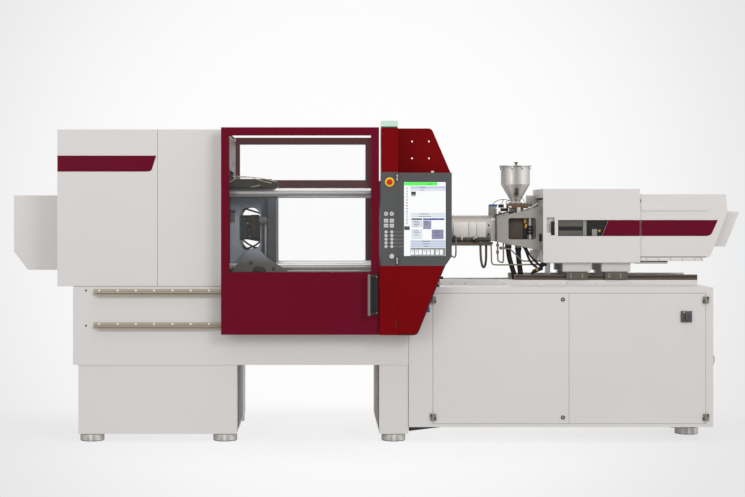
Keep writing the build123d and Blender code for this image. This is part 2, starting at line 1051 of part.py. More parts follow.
def door_rail(z, y):
    # Hung track of folded steel: back web, roller track and lower lip, drawn for the front
    half = door_rail_height / 2
    face = -half_width
    out = face - door_rail_depth
    profile = [
        (face, z - half + 8),
        (face, z + half),
        (face - 8, z + half),
        (face - 8, z + half - 16),
        (out, z + half - 20),
        (out, z + half - 26),
        (face - 10, z - half + 16),
        (face - 10, z - half + 8),
    ]
    right = column_left - column_foot_overhang - seam_gap
    track = long_profile(profile, door_rail_left, right)
    lip = block(door_rail_lip_left, right, face - 20, face, z - half, z - half + 8)
    rail = track + lip
    return rail if y < 0 else mirror(rail, about=Plane.XZ)


# Sliding guard doors, drawn for the front

def door_window_cut(x0, x1, z0, z1):
    y_front = -door_front
    return block(x0, x1, y_front - 1, y_front + door_thickness + 1, z0, z1)


def door_roller(x, z):
    # Axle plate on the door's back with its roller just above the track
    back = -door_front + door_thickness
    centre_z = z + door_rail_height / 2 + roller_radius + slide_gap
    plate = block(
        x - 35, x + 35, back - 1, back + door_bracket_depth, centre_z - 22, centre_z + 22
    )
    axle = rod_y(x, back + door_bracket_depth - 1, -half_width - 5, centre_z, 6)
    roller = rod_y(x, -half_width - 24, -half_width - 4, centre_z, roller_radius)
    return plate + axle + roller


def front_door(mid_rail):
    y0 = -door_front
    y1 = y0 + door_thickness
    body = block(door_left, door_right, y0, y1, door_bottom, door_top)
    if mid_rail:
        body -= door_window_cut(window_left, window_right, window_bottom, rear_mid_rail_z0)
        body -= door_window_cut(window_left, window_right, rear_mid_rail_z1, window_top)
    else:
        body -= door_window_cut(window_left, window_right, window_bottom, window_top)
    # Rebate at the back that the pane sits in
    rebate = pane_thickness + 2
    body -= block(
        window_left - 12, window_right + 12, y1 - rebate, y1 + 1, window_bottom - 12,
        window_top + 12,
    )
    for x in (door_left + roller_inset, door_right - roller_inset):
        for z in (upper_rail_z, lower_rail_z):
            body += door_roller(x, z)
    return body


def door_pane():
    back = -door_front + door_thickness
    margin = 12 - bolt_gap
    return block(
        window_left - margin, window_right + margin, back - pane_thickness - 2, back - 2,
        window_bottom - margin, window_top + margin,
    )


def door_handle():
    # Upright grip bar held by two arms that slant back to a long mounting plate
    face = -door_front
    plate = block(handle_bar_x1, handle_plate_x1, face - 4, face, handle_bottom, handle_top)
    bar_front = face - handle_depth
    bar_back = bar_front + handle_bar_depth
    bar = block(handle_bar_x0, handle_bar_x1, bar_front, bar_back, handle_bottom, handle_top)
    bar = fillet(bar.edges().filter_by(Axis.Z), 6)
    arm_points = [
        Vector(handle_bar_x0 + 6, bar_back - 2, 0),
        Vector(handle_bar_x1 - 2, bar_front + 2, 0),
        Vector(handle_plate_x1 - 4, face - 2, 0),
        Vector(handle_bar_x1 + 4, face - 2, 0),
    ]
    arm_face = make_face(Polyline(*arm_points, close=True))
    arm = extrude(arm_face, amount=12, dir=(0, 0, 1))
    body = plate + bar
    for z in (handle_bottom + 6, handle_top - 18):
        body += Pos(0, 0, z) * arm
    return body


# Control column and display unit

def column_covers():
    upper = block(
        column_left, column_right, -column_front, -half_width, panel_top, column_top
    )
    lower = block(
        column_left - column_foot_overhang, column_right, -column_front, -half_width, column_bottom,
        panel_bottom,
    )
    return [upper, lower]


def hinge_lug(x, y, z0, z1):
    return rod_z(x, y, z0, z1, hinge_radius)


def hinge_x():
    return column_right - hinge_radius


def hinge_y():
    return -column_front - hinge_radius - 1


def key_panel():
    front = -column_front
    body = block(column_left, column_right, front, -half_width, panel_bottom, panel_top)
    body -= rod_y(
        estop_x, front - 1, front + button_bore_depth, estop_z,
        estop_stem_radius + running_gap,
    )
    body -= rod_y(
        key_right_x, front - 1, front + button_bore_depth, start_button_z,
        start_button_radius + running_gap,
    )
    for x in (key_left_x, key_right_x):
        body += rod_y(x, front - key_height, front + 1, round_key_z, round_key_radius)
        for z in (square_key_upper_z, square_key_lower_z):
            body += block(
                x - square_key_width / 2,
                x + square_key_width / 2,
                front - key_height,
                front + 1,
                z - square_key_height / 2,
                z + square_key_height / 2,
            )
        for row in range(small_key_rows):
            z = small_key_top_z - row * small_key_pitch
            body += block(
                x - small_key_radius, x + small_key_radius, front - key_height, front + 1,
                z - small_key_radius * 0.8, z + small_key_radius * 0.8,
            )
    # Fixed hinge knuckles with their pins
    for z in (upper_hinge_z, lower_hinge_z):
        knuckle = hinge_lug(hinge_x(), hinge_y(), z - hinge_knuckle, z)
        knuckle += block(
            hinge_x() - hinge_radius, hinge_x(), hinge_y(), front + 1, z - hinge_knuckle, z
        )
        pin_top = z + seam_gap + hinge_knuckle
        knuckle += rod_z(hinge_x(), hinge_y(), z - 2, pin_top, hinge_pin_radius)
        body += knuckle
    return body


def signal_lamp():
    low = column_top
    base_inset = 4
    base = block(
        column_left + base_inset, column_right - base_inset, -column_front + base_inset,
        -half_width - base_inset, low, low + lamp_base_height,
    )
    lens = block(
        column_left, column_right, -column_front, -half_width, low + lamp_base_height,
        low + lamp_height,
    )
    return base + lens


def estop_button():
    front = -column_front
    head_back = front - estop_travel - 2
    profile = [
        (0, 0),
        (estop_head_radius - 3, 0),
        (estop_head_radius, 4),
        (estop_head_radius - 4, estop_head_thickness),
        (0, estop_head_thickness + 2),
    ]
    head = turned(profile, (0, 0, 0))
    head = Pos(estop_x, head_back, estop_z) * Rot(90, 0, 0) * head
    stem = rod_y(estop_x, head_back - 1, front + 44, estop_z, estop_stem_radius)
    return head + stem


def start_button():
    front = -column_front
    proud = start_button_travel + 2
    return rod_y(key_right_x, front - proud, front + 30, start_button_z, start_button_radius)


def guard_fin():
    # Folded guard over the nozzle, with one rounded top corner and a slanted edge
    left = column_right + display_gap
    y0 = -fin_front
    y1 = y0 + fin_depth
    outline = [
        (left, fin_top),
        (fin_top_right, fin_top),
        (fin_bottom_right, panel_top),
        (fin_bottom_right, panel_bottom),
        (left, panel_bottom),
    ]
    body = side_plate(outline, y0, y1)
    top_edge = body.edges().filter_by(Axis.Y).sort_by_distance((fin_top_right, y0, fin_top))[0]
    body = fillet(top_edge, 30)
    inner = [
        (left + sheet, fin_top - sheet),
        (fin_top_right - sheet - 6, fin_top - sheet),
        (fin_bottom_right - sheet * 2, panel_top - sheet),
        (fin_bottom_right - sheet * 2, panel_bottom + sheet),
        (left + sheet, panel_bottom + sheet),
    ]
    body -= side_plate(inner, y0 + sheet, y1 + 1)
    half = fin_hole_spacing / 2
    for x in (fin_hole_x - half, fin_hole_x + half):
        for z in (fin_hole_z - half, fin_hole_z + half):
            body -= rod_y(x, y0 - 1, y0 + sheet + 1, z, fin_hole_radius)
    # Return flange that joins the fin to the column
    body += block(left, left + sheet, -half_width, y0 + 2, panel_top + 4, fin_top - 6)
    body += block(
        column_right - 30, left + 2, -half_width, -half_width + sheet, panel_top + 4,
        fin_top - 6,
    )
    return body


def display_housing():
    left = column_right + display_gap
    front = -column_front
    outline = [
        (left, display_top),
        (display_right, display_top),
        (display_right, display_bottom + display_bevel_z),
        (display_right - display_bevel_x, display_bottom),
        (left, display_bottom),
    ]
    body = side_plate(outline, front, front + display_depth)
    body -= block(
        screen_left - bolt_gap, screen_right + bolt_gap, front - 1, front + screen_thickness,
        screen_bottom - bolt_gap, screen_top + bolt_gap,
    )
    # Moving hinge knuckles
    for z in (upper_hinge_z, lower_hinge_z):
        low = z + seam_gap
        arm = block(
            hinge_x(), left + 14, front - 4, front, low, low + hinge_knuckle
        )
        link = block(
            hinge_x(), left + 2, hinge_y(), front - 2, low, low + hinge_knuckle
        )
        body += arm + link
        body += hinge_lug(hinge_x(), hinge_y(), low, low + hinge_knuckle)
        body -= rod_z(
            hinge_x(), hinge_y(), low - 1, low + hinge_knuckle + 1,
            hinge_pin_radius + running_gap,
        )
    return body


def display_screen():
    front = -column_front
    return block(
        screen_left, screen_right, front - 1, front + screen_thickness, screen_bottom,
        screen_top,
    )


def guard_skirt():
    left = column_right + display_gap
    front = -column_front
    top = display_bottom
    outline = [
        (left, top),
        (display_right - display_bevel_x, top),
        (skirt_corner_x, skirt_corner_z),
        (skirt_toe_x + 12, skirt_bottom + 10),
        (skirt_toe_x, skirt_bottom),
        (left, skirt_bottom),
    ]
    body = side_plate(outline, front, front + display_depth)
    inner = [
        (left + sheet, top - sheet),
        (display_right - display_bevel_x - sheet * 2, top - sheet),
        (skirt_corner_x - sheet * 2, skirt_corner_z),
        (skirt_toe_x, skirt_bottom + sheet + 4),
        (left + sheet, skirt_bottom + sheet),
    ]
    body -= side_plate(inner, front + sheet, front + display_depth + 1)
    return body


# Injection bed and carriage

def injection_bed():
    lower = injection_bed_top - beam_depth
    beam = block(
        bed_right,
        injection_bed_right,
        trough_half_width,
        injection_bed_half_width,
        lower,
        cabinet_top - sheet,
    )
    beam += block(
        injection_bed_left,
        injection_bed_right,
        trough_half_width,
        injection_bed_half_width,
        cabinet_top - sheet,
        injection_bed_top,
    )
    leg = block(
        leg_x - leg_width / 2,
        leg_x + leg_width / 2,
        trough_half_width,
        injection_bed_half_width,
        pedestal_bottom,
        lower,
    )
    body = Part()
    for side in both_sides(beam + leg):
        body += side
    # Cross members that tie the beams together
    for x in (injection_bed_left, (injection_bed_left + leg_x) / 2, leg_x - leg_width / 2):
        body += block(
            x, x + leg_width, -trough_half_width - 1, trough_half_width + 1, lower, lower + 60
        )
    return body


def carriage_block(x0, x1):
    # Runner block that straddles the rail, with its bracket on top
    z0 = injection_bed_top + 4
    z1 = injection_bed_top + block_height
    half = block_width / 2
    body = block(x0, x1, rail_y - half, rail_y + half, z0, z1)
    gap = rail_width / 2 + slide_gap
    body -= block(
        x0 - 1, x1 + 1, rail_y - gap, rail_y + gap, z0 - 1,
        injection_bed_top + rail_height + slide_gap,
    )
    body += block(
        x0 - bracket_overhang,
        x1 + bracket_overhang,
        rail_y - half + 8,
        rail_y + half - 8,
        z1,
        z1 + bracket_height,
    )
    return body


def base_plate_bottom():
    return injection_bed_top + block_height + bracket_height


def injection_frame():
    # Base plate, end plates, guide rods, ball screws and motors of the injection drive
    low = base_plate_bottom()
    body = block(
        casting_right,
        drive_rear_x + drive_front_plate,
        -drive_plate_half_width - 20,
        drive_plate_half_width + 20,
        low,
        low + base_plate_thickness,
    )
    for x in (casting_right, drive_rear_x):
        body += block(
            x, x + drive_front_plate, -drive_plate_half_width, drive_plate_half_width, low,
            axis_z + drive_plate_half_height,
        )
    for y in (-guide_rod_y, guide_rod_y):
        for z in (-guide_rod_z, guide_rod_z):
            body += rod_x(
                casting_right, drive_rear_x + drive_front_plate, y, axis_z + z, guide_rod_radius
            )
        body += rod_x(casting_right + 60, drive_rear_x + 1, y, axis_z, ball_screw_radius)
        motor_left = drive_rear_x + drive_front_plate
        body += rod_x(
            motor_left - 1, motor_left + drive_motor_length, y, axis_z, drive_motor_radius
        )
    body -= rod_x(casting_right - 1, casting_right + drive_front_plate + 1, 0, axis_z, 70)
    for x0, x1 in ((block_a_x0, block_a_x1), (block_b_x0, block_b_x1)):
        for side in both_sides(carriage_block(x0, x1)):
            body += side
    # Guides along both sides of the top, on which the front cover runs
    guide_z = axis_z + drive_plate_half_height - cover_guide_height
    for side in both_sides(
        block(
            casting_right,
            rear_cover_left - seam_gap,
            drive_plate_half_width - 5,
            front_cover_half_width - sheet - slide_gap,
            guide_z,
            guide_z + cover_guide_height,
        )
    ):
        body += side
    for side in both_sides(
        block(
            drive_rear_x,
            drive_rear_x + drive_front_plate,
            drive_plate_half_width - 20,
            rear_cover_half_width - sheet,
            guide_z,
            guide_z + cover_guide_height,
        )
    ):
        body += side
    # Hose carrier that hangs from the base plate into the bed's trough
    plate_z = injection_bed_top - hose_carrier_depth
    half = hose_carrier_half_width
    hanger_left = casting_right + drive_front_plate
    hanger_right = hanger_left + 2 * sheet
    body += block(
        casting_window_x0, hanger_right, -half, half, plate_z, plate_z + 2 * sheet
    )
    body += block(hanger_left, hanger_right, -half, half, plate_z, low + 1)
    return body


def screw_drive():
    # Sliding pressure plate with ball nuts, bushed on the guide rods, and the screw motor
    x0 = screw_plate_x
    x1 = x0 + screw_plate_thickness
    body = block(
        x0, x1, -drive_plate_half_width + 10, drive_plate_half_width - 10,
        axis_z - screw_plate_half_height, axis_z + screw_plate_half_height,
    )
    body += rod_x(x1 - 1, x1 + screw_motor_length, 0, axis_z, screw_motor_radius)
    for y in (-guide_rod_y, guide_rod_y):
        body += rod_x(x0 - 40, x0 + 1, y, axis_z, ball_screw_radius + 20)
        for z in (-guide_rod_z, guide_rod_z):
            body -= rod_x(x0 - 1, x1 + 1, y, axis_z + z, guide_rod_radius + running_gap)
        body -= rod_x(x0 - 41, x1 + 1, y, axis_z, ball_screw_radius + running_gap)
    body -= rod_x(x0 - 1, x1 + 60, 0, axis_z, barrel_bore_radius + 3 + running_gap)
    return body


def plasticising_screw():
    tip = nozzle_tip_x + 170
    root = barrel_bore_radius * 0.62
    flight = barrel_bore_radius - 0.35
    core = rod_x(tip + 30, screw_plate_x + 100, 0, axis_z, root)
    core += rod_x(
        casting_right - 40, screw_plate_x + screw_plate_thickness + 50, 0, axis_z,
        barrel_bore_radius + 3,
    )
    nose = Cone(root, 3, 30)
    core += Pos(tip + 15, 0, axis_z) * Rot(0, -90, 0) * nose
    # Flights as thin collars at the screw's pitch
    pitch = 4 * barrel_bore_radius
    x = tip + 40
    while x < feed_x + 60:
        core += rod_x(x, x + 6, 0, axis_z, flight)
        x += pitch
    return core


# Barrel, feed casting and hopper

def barrel():
    body = rod_x(barrel_left, casting_left, 0, axis_z, barrel_radius)
    flange = block(
        flange_left, casting_left - flange_gap, -barrel_end_half, barrel_end_half,
        axis_z - barrel_end_half, axis_z + barrel_end_half,
    )
    body += fillet(flange.edges().filter_by(Axis.X), flange_corner)
    body += rod_x(nozzle_tip_x + 60, barrel_left + 1, 0, axis_z, nozzle_radius + 14)
    body += rod_x(nozzle_tip_x + 12, nozzle_tip_x + 61, 0, axis_z, nozzle_radius)
    tip = Cone(nozzle_radius, nozzle_bore_radius + 6, 12)
    body += Pos(nozzle_tip_x + 6, 0, axis_z) * Rot(0, -90, 0) * tip
    body -= rod_x(nozzle_tip_x + 165, casting_left + 1, 0, axis_z, barrel_bore_radius)
    body -= rod_x(nozzle_tip_x - 1, nozzle_tip_x + 166, 0, axis_z, nozzle_bore_radius)
    return body


def barrel_cover():
    # Round sheet jacket with end rings that rest on the barrel
    outer = rod_x(barrel_cover_left, barrel_cover_right, 0, axis_z, barrel_cover_radius)
    inner_radius = barrel_cover_radius - barrel_cover_wall
    ring = 6
    outer -= rod_x(
        barrel_cover_left + ring, barrel_cover_right - ring, 0, axis_z, inner_radius
    )
    outer -= rod_x(
        barrel_cover_left - 1, barrel_cover_right + 1, 0, axis_z, barrel_radius
    )
    # Conduit glands in the underside
    for x, y, z in (conduit_start, conduit_end):
        outer += rod_z(x, y, z, z + conduit_gland_length, conduit_gland_radius)
    return outer


def feed_casting():
    outline = [
        (casting_left, casting_left_bottom),
        (casting_left, casting_left_top),
        (casting_right, casting_right_top),
        (casting_right, casting_right_bottom),
    ]
    body = side_plate(outline, -casting_half_width, casting_half_width)
    # Seat under the hopper base
    body += block(
        hopper_base_x0 + 12, hopper_base_x1 - 34, -hopper_base_half_width + 14,
        hopper_base_half_width - 14, casting_left_top, hopper_base_z0,
    )
    window = block(
        casting_window_x0,
        casting_window_x1,
        -casting_half_width - 1,
        -casting_half_width + casting_window_depth,
        casting_window_z0,
        casting_window_z1,
    )
    window = fillet(window.edges().filter_by(Axis.Y), 16)
    for side in both_sides(window):
        body -= side
    body -= rod_x(casting_left - 1, casting_right + 1, 0, axis_z, barrel_bore_radius)
    body -= rod_x(casting_right - 60, casting_right + 1, 0, axis_z, barrel_bore_radius + 5)
    body -= rod_z(feed_x, 0, axis_z, hopper_base_z0 + 1, feed_hole_radius)
    # Hose nipples under the sloping bottom
    for x, y, z in (front_hose_start, rear_hose_start):
        body += rod_z(x, y, z, z + hose_nipple_length, hose_nipple_radius)
    return body


def gate_z():
    return (hopper_base_z0 + hopper_base_z1) / 2


def hopper_base():
    body = block(
        hopper_base_x0, hopper_base_x1, -hopper_base_half_width, hopper_base_half_width,
        hopper_base_z0, hopper_base_z1,
    )
    body -= rod_z(feed_x, 0, hopper_base_z0 - 1, hopper_base_z1 + 1, feed_hole_radius)
    slot_half = gate_half_width + slide_gap / 2
    slot_height = gate_thickness / 2 + slide_gap / 2
    body -= block(
        feed_x - feed_hole_radius - 14,
        hopper_base_x1 + 1,
        -slot_half,
        slot_half,
        gate_z() - slot_height,
        gate_z() + slot_height,
    )
    return body


def hopper_gate():
    half = gate_thickness / 2
    tab = 18
    plate = block(
        feed_x - feed_hole_radius - 12,
        hopper_base_x1 + tab,
        -gate_half_width,
        gate_half_width,
        gate_z() - half,
        gate_z() + half,
    )
    plate += block(
        hopper_base_x1 + tab, hopper_base_x1 + tab + sheet, -gate_half_width, gate_half_width,
        gate_z() - 10, gate_z() + 10,
    )
    return plate - rod_z(feed_x, 0, gate_z() - 10, gate_z() + 10, feed_hole_radius)


def hopper_body():
    outer = [
        (0, hopper_base_z1),
        (hopper_neck_radius + 12, hopper_base_z1),
        (hopper_neck_radius + 12, hopper_base_z1 + 8),
        (hopper_neck_radius, hopper_base_z1 + 8),
        (hopper_neck_radius, hopper_neck_top),
        (hopper_radius, hopper_cone_top),
        (hopper_radius, hopper_top),
        (0, hopper_top),
    ]
    inner = [
        (0, hopper_base_z1 - 1),
        (feed_hole_radius, hopper_base_z1 - 1),
        (hopper_neck_radius - hopper_wall, hopper_neck_top),
        (hopper_radius - hopper_wall, hopper_cone_top),
        (hopper_radius - hopper_wall, hopper_top + 1),
        (0, hopper_top + 1),
    ]
    body = turned(outer, (feed_x, 0, 0)) - turned(inner, (feed_x, 0, 0))
    # Fixed half of the lid hinge behind the rim: two lugs and the pin between them
    y = lid_hinge_y()
    z = lid_hinge_z()
    for x0 in (feed_x - 30, feed_x + 14):
        body += block(x0, x0 + 16, hopper_radius - 1, y, z - 14, z)
        body += rod_x(x0, x0 + 16, y, z, lid_knuckle_radius)
    body += rod_x(feed_x - 30, feed_x + 30, y, z, lid_pin_radius)
    return body


def lid_hinge_y():
    return hopper_radius + 14


def lid_hinge_z():
    return hopper_top - 6


def hopper_lid():
    low = hopper_top + slide_gap
    high = low + hopper_lid_thickness
    body = rod_z(feed_x, 0, low, high, hopper_lid_radius)
    y = lid_hinge_y()
    z = lid_hinge_z()
    body += block(feed_x - 12, feed_x + 12, hopper_lid_radius - 8, y, low, high)
    body += block(feed_x - 12, feed_x + 12, y - lid_knuckle_radius, y + lid_knuckle_radius, z, high)
    body += rod_x(feed_x - 12, feed_x + 12, y, z, lid_knuckle_radius)
    return body - rod_x(feed_x - 13, feed_x + 13, y, z, lid_pin_radius + running_gap)


# Injection covers

def cover_shell(outline, inner_outline, half):
    body = side_plate(outline, -half, half)
    return body - side_plate(inner_outline, -half + sheet, half - sheet)


def injection_cover_front():
    outline = [
        (front_cover_left, front_cover_bottom),
        (front_cover_left, front_cover_top),
        (front_cover_right, front_cover_top),
        (front_cover_right, front_cover_bottom),
    ]
    inner = [
        (front_cover_left - 1, front_cover_bottom - 1),
        (front_cover_left - 1, front_cover_top - sheet),
        (front_cover_right + 1, front_cover_top - sheet),
        (front_cover_right + 1, front_cover_bottom - 1),
    ]
    body = cover_shell(outline, inner, front_cover_half_width)
    # Slanted window in the operator's side
    pane_low = axis_z + cover_window_low
    pane_high = axis_z + cover_window_high
    window = [
        (cover_window_x0, pane_low),
        (cover_window_x0, pane_high),
        (cover_window_x1, pane_high),
        (cover_window_x1 - cover_window_slant, pane_low),
    ]
    body -= side_plate(window, -front_cover_half_width - 1, -front_cover_half_width + sheet + 1)
    # Recessed grip near the left edge
    grip_x = front_cover_left + 23
    face = -front_cover_half_width
    body += block(
        grip_x - sheet, grip_x + 54 + sheet, face, face + 30, axis_z - 24, axis_z + 88
    )
    body -= block(grip_x, grip_x + 54, face - 1, face + 30 - sheet, axis_z - 20, axis_z + 84)
    return body


def injection_cover_rear():
    right = rear_cover_right
    outline = [
        (rear_cover_left, rear_cover_bottom),
        (rear_cover_left, rear_cover_top),
        (right, rear_cover_top),
        (right + 10, tail_top - 6),
        (right - 80, tail_bottom),
        (right - 108, rear_cover_bottom),
    ]
    inner = [
        (rear_cover_left - 1, rear_cover_bottom - 1),
        (rear_cover_left - 1, rear_cover_top - sheet),
        (right - sheet, rear_cover_top - sheet),
        (right + 5, tail_top - 6),
        (right - 86, tail_bottom),
        (right - 113, rear_cover_bottom - 1),
    ]
    body = cover_shell(outline, inner, rear_cover_half_width)
    # Strips outside, on which the front cover slides back
    strip_y = front_cover_half_width - sheet - slide_gap
    for strip in both_sides(
        block(
            rear_cover_left, rear_cover_left + front_cover_travel, rear_cover_half_width - 1,
            strip_y, axis_z + 130, axis_z + 160,
        )
    ):
        body += strip
    tail_half = rear_cover_half_width - 50
    tail = side_plate(
        [
            (right + 9, tail_top),
            (tail_right, tail_top - 4),
            (tail_right - 95, tail_bottom),
            (right - 79, tail_bottom),
        ],
        -tail_half,
        tail_half,
    )
    return [body, tail]


# Control cabinet

def cabinet_shell():
    outer = block(
        cabinet_left, cabinet_right, -cabinet_half_width, cabinet_half_width, cabinet_bottom,
        cabinet_top,
    )
    outer -= block(
        cabinet_left + sheet,
        cabinet_right - sheet,
        -cabinet_half_width + cabinet_door_depth,
        cabinet_half_width - sheet,
        cabinet_bottom + sheet,
        cabinet_top - sheet,
    )
    outer -= block(
        cabinet_door_left - seam_gap,
        cabinet_door_right + seam_gap,
        -cabinet_half_width - 1,
        -cabinet_half_width + cabinet_door_depth + 1,
        cabinet_door_bottom - seam_gap,
        cabinet_door_top + seam_gap,
    )
    # Openings for the injection bed: roof slot, beam slots at the left end, legs
    clear = seam_gap
    outer -= block(
        injection_bed_left - clear, injection_bed_right + clear,
        -injection_bed_half_width - clear, injection_bed_half_width + clear,
        cabinet_top - sheet - 1, cabinet_top + 1,
    )
    for side in (-1, 1):
        y = side * (trough_half_width + injection_bed_half_width) / 2
        half = (injection_bed_half_width - trough_half_width) / 2 + clear
        outer -= block(
            cabinet_left - 1, cabinet_left + sheet + 1, y - half, y + half,
            injection_bed_top - beam_depth - clear, cabinet_top - sheet,
        )
        outer -= block(
            leg_x - leg_width / 2 - clear, leg_x + leg_width / 2 + clear, y - half, y + half,
            cabinet_bottom - 1, cabinet_bottom + sheet + 1,
        )
    # Fixed hinge leaves with pins
    for x, direction in ((cabinet_door_left, -1), (cabinet_door_right, 1)):
        for z in cabinet_hinge_heights():
            outer += cabinet_hinge(x, direction, z, True)
    # Supply socket on the right end
    face = cabinet_right
    outer += block(face - 1, face + 12, -socket_y - 40, -socket_y + 40, socket_z - 46, socket_z + 46)
    outer += rod_x(face + 11, face + 38, -socket_y, socket_z, 34)
    return outer


def cabinet_hinge_heights():
    return (
        cabinet_door_bottom + cabinet_hinge_inset - cabinet_hinge_height / 2,
        cabinet_door_top - cabinet_hinge_inset - cabinet_hinge_height / 2,
    )


def cabinet_hinge(x, direction, z, fixed):
    # Half of a lift-off hinge: the fixed lower knuckle with its pin, or the moving upper one
    y = -cabinet_half_width - cabinet_hinge_proud
    middle = z + cabinet_hinge_height / 2
    edge = x + direction * 2 * cabinet_hinge_radius
    inner = x - direction * 2 * cabinet_hinge_radius
    if fixed:
        body = rod_z(x, y, z, middle, cabinet_hinge_radius)
        body += block(
            min(x, edge), max(x, edge), y, -cabinet_half_width + 1, z, middle
        )
        return body + rod_z(x, y, middle - 1, z + cabinet_hinge_height, 4)
    low = middle + slide_gap / 2
    body = rod_z(x, y, low, z + cabinet_hinge_height, cabinet_hinge_radius)
    body += block(
        min(x, inner), max(x, inner), y, -cabinet_half_width + 1, low, z + cabinet_hinge_height
    )
    return body - rod_z(x, y, low - 1, z + cabinet_hinge_height + 1, 4 + running_gap)


def cabinet_door(left):
    x0 = cabinet_door_left if left else cabinet_door_middle + seam_gap / 2
    x1 = cabinet_door_middle - seam_gap / 2 if left else cabinet_door_right
    front = -cabinet_half_width
    back = front + cabinet_door_depth
    body = block(x0, x1, front, back, cabinet_door_bottom, cabinet_door_top)
    hinge_side = x0 if left else x1
    direction = -1 if left else 1
    for z in cabinet_hinge_heights():
        body += cabinet_hinge(hinge_side, direction, z, False)
    if left:
        for z in lock_heights():
            body -= rod_y(lock_x, front - 1, back + 1, z, lock_radius - 3 + running_gap)
    else:
        half = main_switch_plate / 2
        body += block(
            main_switch_x - half, main_switch_x + half, front - 8, front + 1,
            main_switch_z - half, main_switch_z + half,
        )
        body -= rod_y(main_switch_x, front - 9, back + 1, main_switch_z, 8 + running_gap)
    return body


def lock_heights():
    return (cabinet_door_bottom + lock_inset, cabinet_door_top - lock_inset)


def door_lock(z):
    # Quarter-turn lock: head outside, barrel through the door, cam behind it
    front = -cabinet_half_width
    body = rod_y(lock_x, front - 5, front - 0.3, z, lock_radius)
    back = front + cabinet_door_depth
    body += rod_y(lock_x, front - 1, back + 6, z, lock_radius - 3)
    return body + block(
        lock_x - 7, lock_x + 7, back + 2, back + 6, z - 7, z + lock_radius + 12
    )


def main_switch_knob():
    front = -cabinet_half_width - 8
    knob = rod_y(
        main_switch_x, front - 24, front - slide_gap, main_switch_z, main_switch_knob_radius
    )
    for side in (-1, 1):
        x = main_switch_x + side * (main_switch_knob_radius - 3)
        knob -= block(
            x - 9, x + 9, front - 25, front - 10, main_switch_z - 30, main_switch_z + 30
        )
    back = -cabinet_half_width + cabinet_door_depth
    return knob + rod_y(main_switch_x, front - 2, back + 8, main_switch_z, 8)


def drive_modules():
    # Mounting plate behind the cabinet doors, with its row of drives and a supply block
    y = -module_plate_y
    x0 = cabinet_door_left - module_inset
    x1 = leg_x - leg_width
    plate = block(
        x0, x1, y, y + sheet, cabinet_bottom + sheet,
        injection_bed_top - beam_depth - module_gap,
    )
    first = x0 + module_inset
    last = x1 - module_inset
    pitch = (last - first - supply_width - module_inset) / module_count
    front = y - module_depth
    for index in range(module_count):
        left = first + index * pitch
        right = left + pitch - module_gap
        plate += block(left, right, front, y + 1, module_bottom, module_top)
        plate += block(
            left + module_gap, right - module_gap, front - module_plug_depth, front + 1,
            module_bottom + module_inset,
            module_bottom + module_inset + module_plug_height,
        )
    plate += block(
        last - supply_width, last, y - supply_depth, y + 1, module_bottom + module_gap,
        module_top - module_gap,
    )
    plate += block(first, last, y - terminal_depth, y + 1, terminal_bottom, terminal_top)
    return plate


# Hoses and conduit: fixed at both ends to the injection unit

def hose(points, radius):
    # Round hose of straight runs joined by arcs as large as the runs allow
    path = [Vector(*point) for point in points]
    radii = []
    for before, corner, after in zip(path, path[1:], path[2:]):
        into = corner - before
        out = after - corner
        half_turn = radians(into.get_angle(out)) / 2
        radii.append(0.45 * min(into.length, out.length) / tan(half_turn))
    print("bend radii", [round(value) for value in radii])
    line = FilletPolyline(*path, radius=radii)
    start = Plane(path[0], z_dir=path[1] - path[0])
    tube = sweep(start * Circle(radius), path=line)
    print("length", round(line.length), "volume", round(tube.volume))
    return tube


def hose_floor():
    return injection_bed_top - hose_carrier_depth + 2 * sheet


save("machine_frame", machine_frame())
save("levelling_feet", *[levelling_foot(x, y) for x, y in foot_places()])
save("clamp_rear_cover", clamp_rear_cover())
save("clamp_front_cover", clamp_front_cover())
save("clamp_end_cover", clamp_end_cover())
save("end_platen", end_platen())
save("tie_bars", *tie_bars())
save("fixed_platen", fixed_platen())
save("moving_platen", moving_platen())
save("linear_rails", *linear_rails())
save("clamp_drive", clamp_drive())
save("clamp_screw", clamp_screw())
save("crosshead", crosshead())
save("rear_link_upper", *rear_link(True))
save("rear_link_lower", *rear_link(False))
save("front_link_upper", *front_link(True))
save("front_link_lower", *front_link(False))
save("crosshead_link_upper", *crosshead_link(True))
save("crosshead_link_lower", *crosshead_link(False))
save("ejector_unit", *ejector_unit())
save("ejector_rod", ejector_rod())
save("cable_tray", cable_tray())
save(
    "door_rails",
    *[door_rail(z, side) for z in (upper_rail_z, lower_rail_z) for side in (-1, 1)],
)
save("front_door", front_door(False))
save("front_door_window", door_pane())
save("front_door_handle", door_handle())
save("rear_door", mirror(front_door(True) + door_handle(), about=Plane.XZ))
save("rear_door_window", mirror(door_pane(), about=Plane.XZ))
save("column_covers", *column_covers())
save("key_panel", key_panel())
save("signal_lamp", signal_lamp())
save("estop_button", estop_button())
save("start_button", start_button())
save("guard_fin", guard_fin())
save("display_housing", display_housing())
save("display_screen", display_screen())
save("guard_skirt", guard_skirt())
save("injection_bed", injection_bed())
save("injection_frame", injection_frame())
save("screw_drive", screw_drive())
save("plasticising_screw", plasticising_screw())
save("barrel", barrel())
save("barrel_cover", barrel_cover())
save("feed_casting", feed_casting())
save("hopper_base", hopper_base())
save("hopper_gate", hopper_gate())
save("hopper_body", hopper_body())
save("hopper_lid", hopper_lid())
save("injection_cover_front", injection_cover_front())
save("injection_cover_rear", *injection_cover_rear())
save("cabinet_shell", cabinet_shell())
save("cabinet_door_left", cabinet_door(True))
save("cabinet_door_right", cabinet_door(False))
for name, height in zip(("door_lock_lower", "door_lock_upper"), lock_heights()):
    save(name, door_lock(height))
save("main_switch_knob", main_switch_knob())
save("drive_modules", drive_modules())
